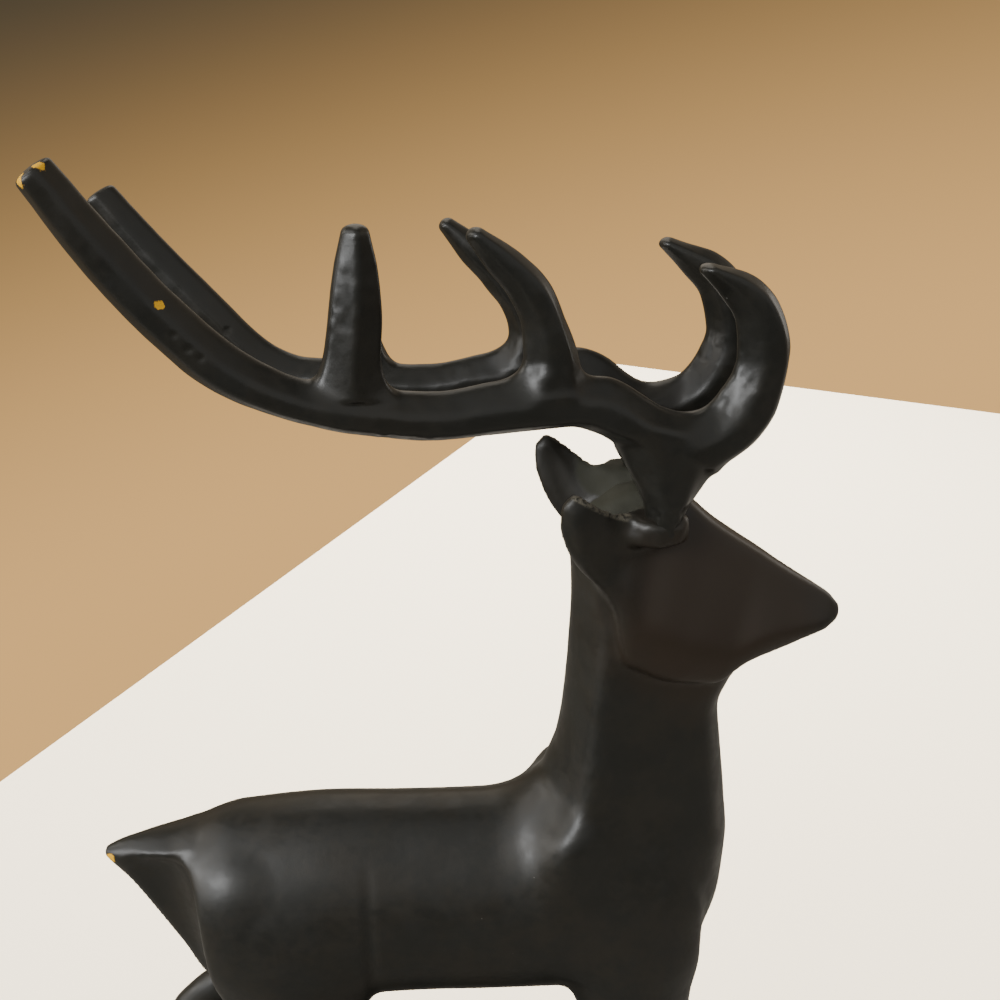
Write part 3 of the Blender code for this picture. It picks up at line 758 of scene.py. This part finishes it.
def build_dust_group():
    """Dust: sparse round specks, one in a few random cells, smaller than the cell."""
    tree, given, result = group_sockets("Dust", (
        ("Place", None), ("Cell", 0.004), ("Speck", 0.05), ("Share", 0.3)), "Mask")
    cells = node(tree, "ShaderNodeTexVoronoi", {
        "Vector": given["Place"], "Scale": maths(tree, "DIVIDE", 1.0, given["Cell"])})
    lot = node(tree, "ShaderNodeSeparateColor", {"Color": cells.outputs["Color"]}).outputs["Red"]
    chosen = maths(tree, "LESS_THAN", lot, given["Share"])
    speck = maths(tree, "LESS_THAN", cells.outputs["Distance"], given["Speck"])
    tree.links.new(maths(tree, "MULTIPLY", chosen, speck), result.inputs["Mask"])


def grouped(tree, name, inputs):
    """A shared node group placed in a material, as its output socket."""
    group = bpy.data.node_groups[name]
    return node(tree, "ShaderNodeGroup", inputs, node_tree=group).outputs[0]


class Coat:
    """A coat in the making: one shader, and the colour, roughness and height it has so far."""

    def __init__(self, name, finish, brown, gloss, lump, peel_share, strength):
        self.material = bpy.data.materials.new(name)
        self.material.use_nodes = True
        self.tree = tree = self.material.node_tree
        self.shader = tree.nodes["Principled BSDF"]
        self.place = tree.nodes.new("ShaderNodeTexCoord").outputs["Object"]
        self.mirrored = node(tree, "ShaderNodeVectorMath", {0: self.place},
                             operation="ABSOLUTE").outputs["Vector"]
        self.strength = strength
        tint = grouped(tree, "Mottle", {"Place": self.place, "Amount": brown})
        self.colour = mixed(tree, tint, finish.coat_colour, finish.brown_colour)
        patches = grouped(tree, "Mottle", {"Place": self.place, "Patch": 0.006, "Low": 0.3})
        self.rough = mapped(tree, patches, 0.0, 1.0, gloss - 0.04, gloss + 0.06)
        self.height = grouped(tree, "Cast grain", {
            "Place": self.place, "Lump": lump, "Peel share": peel_share})

    def spot(self, centre, radius, edge=0.3, ragged=0.6, grit=0.8, both_sides=False):
        """The mask of a ragged spot, whose place and sizes are in millimetres."""
        return grouped(self.tree, "Ragged spot", {
            "Place": self.mirrored if both_sides else self.place,
            "Centre": tuple(value * MM for value in centre), "Radius": radius * MM,
            "Edge": edge, "Ragged": ragged, "Grain": grit * MM})

    def all_of(self, masks):
        """The highest of several masks."""
        total = masks[0]
        for mask in masks[1:]:
            total = maths(self.tree, "MAXIMUM", total, mask)
        return total

    def raised(self, mask, height):
        """Adds a height, or sinks a negative one, where the mask is."""
        self.height = maths(self.tree, "ADD", self.height,
                            maths(self.tree, "MULTIPLY", height, mask))

    def layer(self, mask, colour, rough, amount=1.0):
        """Lays a colour and a roughness over what is there."""
        share = maths(self.tree, "MULTIPLY", mask, amount)
        self.colour = mixed(self.tree, share, self.colour, colour)
        kept = maths(self.tree, "MULTIPLY", self.rough, maths(self.tree, "SUBTRACT", 1.0, share))
        self.rough = maths(self.tree, "ADD", kept, maths(self.tree, "MULTIPLY", share, rough))

    def finish(self):
        """Links colour, roughness and bump to the shader."""
        bump = node(self.tree, "ShaderNodeBump", {
            "Height": self.height, "Strength": self.strength, "Distance": BUMP_DEPTH})
        for name, value in (("Base Color", self.colour), ("Roughness", self.rough),
                            ("Normal", bump.outputs["Normal"])):
            self.tree.links.new(value, self.shader.inputs[name])
        return self.material


def body_coat(finish):
    """The body's satin coat: brown on the cheeks, dull on the crown, gritty on the ears' rims."""
    coat = Coat("Black satin coat", finish, brown=0.5, gloss=finish.body_gloss, lump=0.0036,
                peel_share=0.25, strength=0.30)
    tree = coat.tree
    cheek = coat.spot(*CHEEK_SPOT, edge=0.35, ragged=0.25, grit=9.0, both_sides=True)
    coat.layer(cheek, finish.cheek_colour, rough=finish.body_gloss + 0.02, amount=0.85)
    crown = coat.all_of([coat.spot(*spot, edge=0.12, ragged=0.25, grit=3.0, both_sides=both)
                         for spot, both in CROWN_SPOTS])
    coat.layer(crown, finish.crown_colour, rough=0.78, amount=0.95)
    lumps = noise(tree, coat.place, scale=1 / (1.6 * MM), detail=3.0, roughness=0.5)
    coat.raised(crown, maths(tree, "MULTIPLY", lumps, 2.2))
    rim = node(tree, "ShaderNodeAttribute", attribute_name="rim").outputs["Fac"]
    grit = noise(tree, coat.place, scale=1 / (0.7 * MM), detail=4.0, roughness=0.7)
    rim = maths(tree, "MULTIPLY", mapped(tree, rim, 0.25, 0.8), mapped(tree, grit, 0.35, 0.6))
    coat.layer(rim, finish.rim_colour, rough=0.62, amount=0.9)
    coat.raised(rim, 0.8)
    rings = coat.all_of([maths(tree, "SUBTRACT", coat.spot(centre, radius, edge=0.15, ragged=0.1),
                               coat.spot(centre, 0.6 * radius, edge=0.2, ragged=0.1))
                         for centre, radius in RINGS])
    coat.layer(rings, finish.coat_colour, rough=0.5, amount=0.6)
    coat.raised(rings, -1.0)
    specks = coat.all_of([coat.spot(*speck, edge=0.2, ragged=0.3, grit=0.5) for speck in DUST])
    drift = grouped(tree, "Dust", {"Place": coat.place, "Cell": 0.006, "Speck": 0.022,
                                   "Share": 0.25})
    coat.layer(maths(tree, "MAXIMUM", specks, maths(tree, "MULTIPLY", drift, 0.35)),
               finish.dust_colour, rough=0.9, amount=0.8)
    coat.layer(coat.spot(*TAIL_CHIP, edge=0.15, ragged=0.5), finish.bare_colour, rough=0.45)
    return coat.finish()


def antler_coat(word, finish, place):
    """An antler's coat: a little lumpier than the body's, with chips down to the yellow metal."""
    coat = Coat(f"Antler coat {word}", finish, brown=0.35, gloss=finish.antler_gloss, lump=0.0026,
                peel_share=0.3, strength=0.38)
    drift = grouped(coat.tree, "Dust", {"Place": coat.place, "Cell": 0.005, "Speck": 0.03,
                                        "Share": 0.3})
    coat.layer(drift, finish.dust_colour, rough=0.9, amount=0.3)
    chips = coat.all_of([coat.spot(place(np.array(back), np.array(up), out), radius,
                                   edge=0.12, ragged=0.7, grit=0.9)
                         for back, up, out, radius in CHIPS[word]])
    coat.layer(chips, finish.bare_colour, rough=0.45)
    coat.raised(chips, -1.5)
    return coat.finish()


# ---------------------------------------------------------------- settings


def a_length(name, description, default, minimum):
    """A size in metres."""
    return FloatProperty(name=name, description=description, default=default, min=minimum,
                         unit="LENGTH")


def an_angle(name, description, degrees):
    """An angle, stated here in degrees."""
    return FloatProperty(name=name, description=description, default=math.radians(degrees),
                         subtype="ANGLE")


def a_roughness(name, description, default):
    """A roughness, from nearly a mirror to fully dull."""
    return FloatProperty(name=name, description=description, default=default, min=0.05, max=1.0)


def a_colour(name, description, default):
    """A colour, stated as linear red, green and blue."""
    return FloatVectorProperty(name=name, description=description, default=default, size=3,
                               subtype="COLOR", min=0.0, max=1.0)


class StagShape(PropertyGroup):
    """Sizes of the stag and its antlers."""

    leg_spacing: a_length("Leg spacing", "From the middle to a leg's own plane", 0.013, 0.008)
    head_slope: an_angle("Head slope", "How far the head's axis falls towards the nose", 16.0)
    splay: an_angle("Antler splay", "How far an antler's plane opens to the rear", 9.0)
    left_drop: an_angle("Left antler drop", "How much lower the left antler's far end sits", 7.0)
    base_length: a_length("Base length", "Length of the base along the stag", 0.166, 0.1)
    base_width: a_length("Base width", "Width of the base across the stag", 0.060, 0.03)
    base_thickness: a_length("Base thickness", "Height of the base's upper face", 0.006, 0.002)
    body_lattice: a_length("Body lattice", "Cube size that the body's skin is taken from",
                           0.00082, 0.0003)
    antler_lattice: a_length("Antler lattice", "Cube size that an antler's skin is taken from",
                             0.00034, 0.0002)


class StagFinish(PropertyGroup):
    """Colours and gloss of the coat."""

    coat_colour: a_colour("Coat", "Colour of the black coat", (0.0145, 0.0145, 0.0120))
    brown_colour: a_colour("Worn coat", "Colour where the coat looks brown", (0.026, 0.0215, 0.0145))
    cheek_colour: a_colour("Cheek", "Colour of the brown coat on the cheeks", (0.030, 0.019, 0.011))
    crown_colour: a_colour("Crown", "Colour of the dull filler on the crown", (0.040, 0.040, 0.027))
    rim_colour: a_colour("Ear rim", "Colour of the gritty rims of the ears", (0.15, 0.135, 0.10))
    dust_colour: a_colour("Dust", "Colour of the dust specks", (0.42, 0.40, 0.37))
    bare_colour: a_colour("Bare metal", "Colour where the coat has chipped off", (0.96, 0.50, 0.004))
    body_gloss: a_roughness("Body roughness", "Roughness of the body's coat", 0.38)
    antler_gloss: a_roughness("Antler roughness", "Roughness of the antlers' coat", 0.33)


class StagStage(PropertyGroup):
    """Floor, light and camera."""

    floor_colour: a_colour("Floor", "Colour of the plain floor", (0.80, 0.71, 0.55))
    floor_reflected: a_colour("Floor in reflections", "Colour of the floor as the coat reflects it",
                              (0.080, 0.076, 0.069))
    wall_reflected: a_colour("Wall in reflections", "Colour of the room behind, in reflections",
                             (0.20, 0.155, 0.10))
    wall_dark: a_colour("Wall, dark", "Colour of the room behind at its darkest",
                        (0.064, 0.054, 0.036))
    wall_light: a_colour("Wall, light", "Colour of the room behind at its lightest",
                         (0.95, 0.54, 0.185))
    wall_above: a_colour("Wall above", "Colour of the room behind, above the camera's view",
                         (0.46, 0.385, 0.29))
    ceiling: a_colour("Ceiling", "Colour of the room overhead", (0.12, 0.11, 0.10))
    room_front: a_colour("Room in front", "Colour of the room in front, above the floor",
                         (0.53, 0.52, 0.50))
    room_low: a_colour("Room below", "Colour of the room in front, below the floor's edge",
                       (0.125, 0.117, 0.105))
    lens: FloatProperty(
        name="Lens", description="Focal length in millimetres", default=38.6, min=10.0)


# ---------------------------------------------------------------- pieces


def antler_place(shape, side):
    """The placing of one antler: splayed to its side, and the left one dropped and bent."""
    if side > 0:
        return in_antler_plane(side, shape.splay, shape.left_drop, LEFT_SHIFT, True)
    return in_antler_plane(side, shape.splay, 0.0, (0.0, 0.0, 0.0), False)


def body_clay(shape):
    """Torso, neck, head, ears and legs, melted together joint by joint."""
    clay = Clay(*BODY_SPACE, shape.body_lattice / MM, BODY_REACH)
    middle = at_side(0.0)
    clay.add(limb(TORSO, BARREL, middle, DOMES["torso"]), MELT["torso"])
    for side, _ in SIDES:
        plane = at_side(side * shape.leg_spacing / MM)
        clay.add(limb(HIND_LEG, ROUND, plane), MELT["leg"])
        clay.add(limb(FORE_LEG, ROUND, plane), MELT["leg"])
    clay.add(limb(NECK, NECK_KITE, middle, crispness=BEVELLED), MELT["neck"])
    for side, _ in SIDES:
        hollow = limb(TAIL_SCOOP, BOX, at_side(side * SCOOP_OFFSET), DOMES["scoop"])
        clay.carve(hollow, MELT["scoop"])
    clay.add(limb(TAIL_ROOF, GABLE, middle, crispness=BEVELLED), MELT["tail"])
    head = limb(head_stations(shape.head_slope), CHEEK, middle, DOMES["head"], SHARP)
    clay.add(head, MELT["head"])
    for side, word in SIDES:
        clay.add(ear(side), MELT["ear"])
        ring = limb(FILLERS[word], ROUND, antler_place(shape, side), DOMES["filler"])
        clay.add(ring, MELT[f"{word} filler"])
    clay.soften(1)
    return clay


def body_relief(points, normals):
    """Lumps all over, coarse ones in the filler, raised rims, soft bumps and a shallow crease."""
    relief = uneven(points, BODY_GRAIN)
    lumps = grain(points, *FILLER_LUMPS)
    for centre, radius, height in LUMPY_SPOTS:
        relief += height * near(points, centre, radius) * lumps
    relief += ear_rims(points) * (RIM_RAISED[0] + RIM_RAISED[1] * grain(points, *RIM_LUMPS))
    for centre, radius, height in BUMPS:
        relief += height * near(points, centre, radius)
    forward, half_width, up, half_height, depth = FLANK_CREASE
    across = np.maximum(1.0 - ((points[:, 0] - forward) / half_width) ** 2, 0.0) ** 2
    along = np.maximum(1.0 - ((points[:, 2] - up) / half_height) ** 2, 0.0)
    for side, _ in SIDES:
        for centre, radius, height in PAIRED_BUMPS:
            relief += height * near(points, np.array(centre) * (1, side, 1), radius)
        relief -= depth * across * along * (points[:, 1] * side > FLANK)
    return points + normals * relief[:, None]


def base_surface(shape):
    """The plate: a stadium outline carried over a profile with rounded upper and lower edges."""
    length, width = shape.base_length / MM, shape.base_width / MM
    top = shape.base_thickness / MM
    turn = np.linspace(0.0, 2 * math.pi, 128, endpoint=False)
    profile = list(BASE_FOOT)
    for rise in np.radians(np.linspace(0, 90, 8)):
        profile.append((BASE_ROUNDING * (1 - math.cos(rise)),
                        top - BASE_ROUNDING * (1 - math.sin(rise))))
    rings = []
    for inset, height in profile:
        radius = width / 2 - inset
        x = radius * np.cos(turn) + np.where(np.cos(turn) > 0, 1, -1) * (length - width) / 2
        rings.append(np.stack([x, radius * np.sin(turn), np.full_like(x, height)], -1))
    return grid_surface(np.array(rings))


def join(context, body, base):
    """Make the body and its base one closed mesh, and remove the base's own object."""
    union = body.modifiers.new("Base", "BOOLEAN")
    union.operation, union.solver, union.object = "UNION", "EXACT", base
    depsgraph = context.evaluated_depsgraph_get()
    joined = bpy.data.meshes.new_from_object(body.evaluated_get(depsgraph))
    body.modifiers.clear()
    body.data = joined
    bpy.data.objects.remove(base, do_unlink=True)
    joined.shade_smooth()


def level_faces_flat(mesh, height):
    """Shade the plate's level top and underside flat, so that no streaks run from the hooves."""
    facing, middle = (np.empty(len(mesh.polygons) * 3, dtype=np.float32) for _ in range(2))
    mesh.polygons.foreach_get("normal", facing)
    mesh.polygons.foreach_get("center", middle)
    level = np.abs(facing.reshape(-1, 3)[:, 2]) > LEVEL
    low = middle.reshape(-1, 3)[:, 2] < height + LEVEL_SLACK
    mesh.polygons.foreach_set("use_smooth", ~(level & low))


def mark_rims(mesh):
    """Store how near each point is to an ear's rim, for the coat to read."""
    points = np.empty(len(mesh.vertices) * 3, dtype=np.float32)
    mesh.vertices.foreach_get("co", points)
    rim = mesh.attributes.new("rim", "FLOAT", "POINT")
    rim.data.foreach_set("value", ear_rims(points.reshape(-1, 3) / MM).astype(np.float32))


class STAG_OT_body(Operator):
    """Make the stag's body, with its head, legs and base"""

    bl_idname = "stag.body"
    bl_label = "Stag body"

    def execute(self, context):
        shape, finish = context.scene.stag_shape, context.scene.stag_finish
        points, quads = body_clay(shape).skin()
        points = body_relief(points, point_normals(points, quads))
        coat = body_coat(finish)
        body = new_piece("stag", points, quads, coat)
        join(context, body, new_piece("base", *base_surface(shape), coat))
        level_faces_flat(body.data, shape.base_thickness)
        mark_rims(body.data)
        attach(body, "root")
        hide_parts("stag_body")
        return {"FINISHED"}


class STAG_OT_antlers(Operator):
    """Make the two antlers, each a beam with three tines"""

    bl_idname = "stag.antlers"
    bl_label = "Antlers"

    def execute(self, context):
        shape, finish = context.scene.stag_shape, context.scene.stag_finish
        for side, word in SIDES:
            place = antler_place(shape, side)
            limbs = [limb(stations, facets, place, (0.0, dome), BEVELLED)
                     for stations, facets, dome, _ in ANTLER_LIMBS]
            low = np.min([points.min(0) for points, _ in limbs], axis=0) - ANTLER_MARGIN
            high = np.max([points.max(0) for points, _ in limbs], axis=0) + ANTLER_MARGIN
            clay = Clay(low, high, shape.antler_lattice / MM, ANTLER_REACH)
            for made, (_, _, _, melt) in zip(limbs, ANTLER_LIMBS):
                clay.add(made, melt)
            clay.soften(1)
            points, quads = clay.skin()
            points = antler_relief(points, point_normals(points, quads), place, MARKS[word])
            coat = antler_coat(word, finish, place)
            piece = new_piece(f"antler_{word}_cast", points, quads, coat)
            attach(piece, "root")
            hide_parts(f"antler_{word}")
        return {"FINISHED"}


# ---------------------------------------------------------------- floor, lights and camera

FLOOR_CORNER = (0.175, 0.835, -0.0002)  # metres; a hair under the base, so that they don't touch
FLOOR_SIDES = ((-0.4995, -0.8663, 1.12), (0.8663, -0.4995, 1.2))  # each a heading and a length

# Name, heading and height in degrees, distance, size across in metres, power in watts, colour.
LAMPS = (
    ("Window on the left", 209.0, 18.0, 1.2, 0.46, 4.8, (0.98, 0.99, 1.0)),
    ("Upper window", 225.0, 30.0, 1.2, 0.50, 5.2, (0.98, 0.99, 1.0)),
    ("Window at the back left", 165.0, 32.0, 1.2, 0.50, 2.1, (1.0, 0.97, 0.92)),
    ("Low light on the left", 183.0, 4.0, 1.2, 0.42, 2.2, (1.0, 0.97, 0.92)),
    ("High window on the left", 190.0, 50.0, 1.2, 0.50, 1.2, (0.98, 0.99, 1.0)),
    ("Soft light behind", 88.0, 30.0, 1.3, 0.70, 1.0, (1.0, 0.93, 0.82)),
    ("Low light on the right", 30.0, 8.0, 1.2, 0.50, 1.0, (1.0, 0.97, 0.92)),
    ("Softbox in front", 245.0, 30.0, 1.3, 0.60, 1.2, (1.0, 0.99, 0.96)),
    ("Softbox overhead", 90.0, 58.0, 1.3, 0.60, 1.7, (1.0, 0.93, 0.82)),
)
LAMP_AIM = (0.0, 0.0, 0.15)
# Place, aim, size across, power and colour of the lamp that lights the floor alone.
FLOOR_LAMP = ((0.15, 0.62, 0.85), (0.20, 0.36, 0.0), 1.0, 60.0, (1.0, 0.96, 0.90))

CAMERA_PLACE = (0.0, -0.208, 0.313)
CAMERA_TURN = (66.0, 0.0, -5.0)  # degrees
SENSOR = 36.0  # millimetres across
SEEN_FROM, SEEN_TO = 0.01, 20.0  # the nearest and the farthest that the camera sees

# The room is a mix of colours by direction, each pair of numbers the ends of a soft change.
WALL_LEAN = 0.25  # how far the wall's shading leans to the right
WALL_SHADING = (-0.15, 0.40)
WALL_TOP = (0.03, 0.14)
CEILING_EDGE = (0.45, 0.85)
FLOOR_LEVEL = (-0.04, 0.10)
FRONT_TO_BACK = (-0.35, 0.20)


def plain_floor(stage):
    """A flat rectangle, from one corner along two headings at right angles."""
    corner = np.array(FLOOR_CORNER)
    first, second = (np.array([x, y, 0.0]) * length for x, y, length in FLOOR_SIDES)
    mesh = bpy.data.meshes.new("floor")
    mesh.from_pydata([tuple(corner), tuple(corner + first), tuple(corner + first + second),
                      tuple(corner + second)], [], [(0, 1, 2, 3)])
    floor = bpy.data.objects.new("floor", mesh)
    made = bpy.data.materials.new("Plain floor")
    made.use_nodes = True
    shader = made.node_tree.nodes["Principled BSDF"]
    direct = made.node_tree.nodes.new("ShaderNodeLightPath").outputs["Is Camera Ray"]
    seen = mixed(made.node_tree, direct, stage.floor_reflected, stage.floor_colour)
    made.node_tree.links.new(seen, shader.inputs["Base Color"])
    shader.inputs["Roughness"].default_value = 0.9
    mesh.materials.append(made)
    return floor


def soft_room(stage):
    """A room of soft colours: a brown wall behind, lighter above, and neutral in front."""
    world = bpy.data.worlds.new("Soft room")
    world.use_nodes = True
    tree = world.node_tree
    heading = tree.nodes.new("ShaderNodeTexCoord").outputs["Generated"]
    axes = node(tree, "ShaderNodeSeparateXYZ", {"Vector": heading}).outputs
    slant = maths(tree, "SUBTRACT", maths(tree, "MULTIPLY", axes["X"], WALL_LEAN), axes["Z"])
    direct = tree.nodes.new("ShaderNodeLightPath").outputs["Is Camera Ray"]
    wall = mixed(tree, mapped(tree, slant, *WALL_SHADING), stage.wall_dark, stage.wall_light)
    wall = mixed(tree, direct, stage.wall_reflected, wall)
    behind = mixed(tree, mapped(tree, axes["Z"], *WALL_TOP), wall, stage.wall_above)
    behind = mixed(tree, mapped(tree, axes["Z"], *CEILING_EDGE), behind, stage.ceiling)
    front = mixed(tree, mapped(tree, axes["Z"], *FLOOR_LEVEL), stage.room_low, stage.room_front)
    room = mixed(tree, mapped(tree, axes["Y"], *FRONT_TO_BACK), front, behind)
    tree.links.new(room, tree.nodes["Background"].inputs["Color"])
    return world


def soft_lamp(name, spot, aim, width, power, colour):
    """A square area lamp that looks at its aim."""
    data = bpy.data.lights.new(name, "AREA")
    data.size, data.energy, data.color = width, power, colour
    lamp = bpy.data.objects.new(name, data)
    lamp.location = spot
    direction = np.array(aim) - np.array(spot)
    lamp.rotation_euler = (math.acos(-direction[2] / np.linalg.norm(direction)), 0.0,
                           math.atan2(-direction[0], direction[1]))
    bpy.context.scene.collection.objects.link(lamp)
    return lamp


def lamp_spot(heading, height, distance):
    """A place at a heading (0 along +X, 90 along +Y), a height in degrees and a distance."""
    turn, rise = math.radians(heading), math.radians(height)
    direction = np.array([math.cos(rise) * math.cos(turn), math.cos(rise) * math.sin(turn),
                          math.sin(rise)])
    return np.array(LAMP_AIM) + distance * direction


class STAG_OT_stage(Operator):
    """Make the plain floor, the soft lights and the camera"""

    bl_idname = "stag.stage"
    bl_label = "Floor, light and camera"

    def execute(self, context):
        stage = context.scene.stag_stage
        floor = plain_floor(stage)
        context.scene.collection.objects.link(floor)
        context.scene.world = soft_room(stage)
        for name, heading, height, distance, width, power, colour in LAMPS:
            soft_lamp(name, lamp_spot(heading, height, distance), LAMP_AIM, width, power, colour)
        lamp = soft_lamp("Lamp on the floor behind", *FLOOR_LAMP)
        lamp.visible_glossy = False
        lit = bpy.data.collections.new("Lit by the floor lamp")
        lit.objects.link(floor)
        lamp.light_linking.receiver_collection = lit

        data = bpy.data.cameras.new("Camera")
        data.sensor_width, data.lens = SENSOR, stage.lens
        data.clip_start, data.clip_end = SEEN_FROM, SEEN_TO
        camera = bpy.data.objects.new("Camera", data)
        context.scene.collection.objects.link(camera)
        camera.location = CAMERA_PLACE
        camera.rotation_euler = [math.radians(degrees) for degrees in CAMERA_TURN]
        context.scene.camera = camera
        return {"FINISHED"}


class STAG_PT_panel(Panel):
    """Lists the stag's pieces and its settings"""

    bl_idname = "STAG_PT_panel"
    bl_label = "Standing stag"
    bl_space_type = "VIEW_3D"
    bl_region_type = "UI"
    bl_category = "Stag"

    def draw(self, context):
        column = self.layout.column()
        for operator in OPERATORS:
            column.operator(operator.bl_idname)
        for group in (context.scene.stag_shape, context.scene.stag_finish,
                      context.scene.stag_stage):
            for name in group.bl_rna.properties.keys():
                if name not in ("rna_type", "name"):
                    column.prop(group, name)


OPERATORS = (STAG_OT_body, STAG_OT_antlers, STAG_OT_stage)
GROUPS = ((StagShape, "stag_shape"), (StagFinish, "stag_finish"), (StagStage, "stag_stage"))


def register():
    for group, name in GROUPS:
        bpy.utils.register_class(group)
        setattr(bpy.types.Scene, name, PointerProperty(type=group))
    for kind in (*OPERATORS, STAG_PT_panel):
        bpy.utils.register_class(kind)


def unregister():
    for kind in (STAG_PT_panel, *reversed(OPERATORS)):
        bpy.utils.unregister_class(kind)
    for group, name in reversed(GROUPS):
        delattr(bpy.types.Scene, name)
        bpy.utils.unregister_class(group)


def main():
    """Make every piece and the stage."""
    register()
    for build in (build_spot_group, build_grain_group, build_mottle_group, build_dust_group):
        build()
    for operator in OPERATORS:
        area, name = operator.bl_idname.split(".")
        getattr(getattr(bpy.ops, area), name)()


if __name__ == "__main__":
    main()
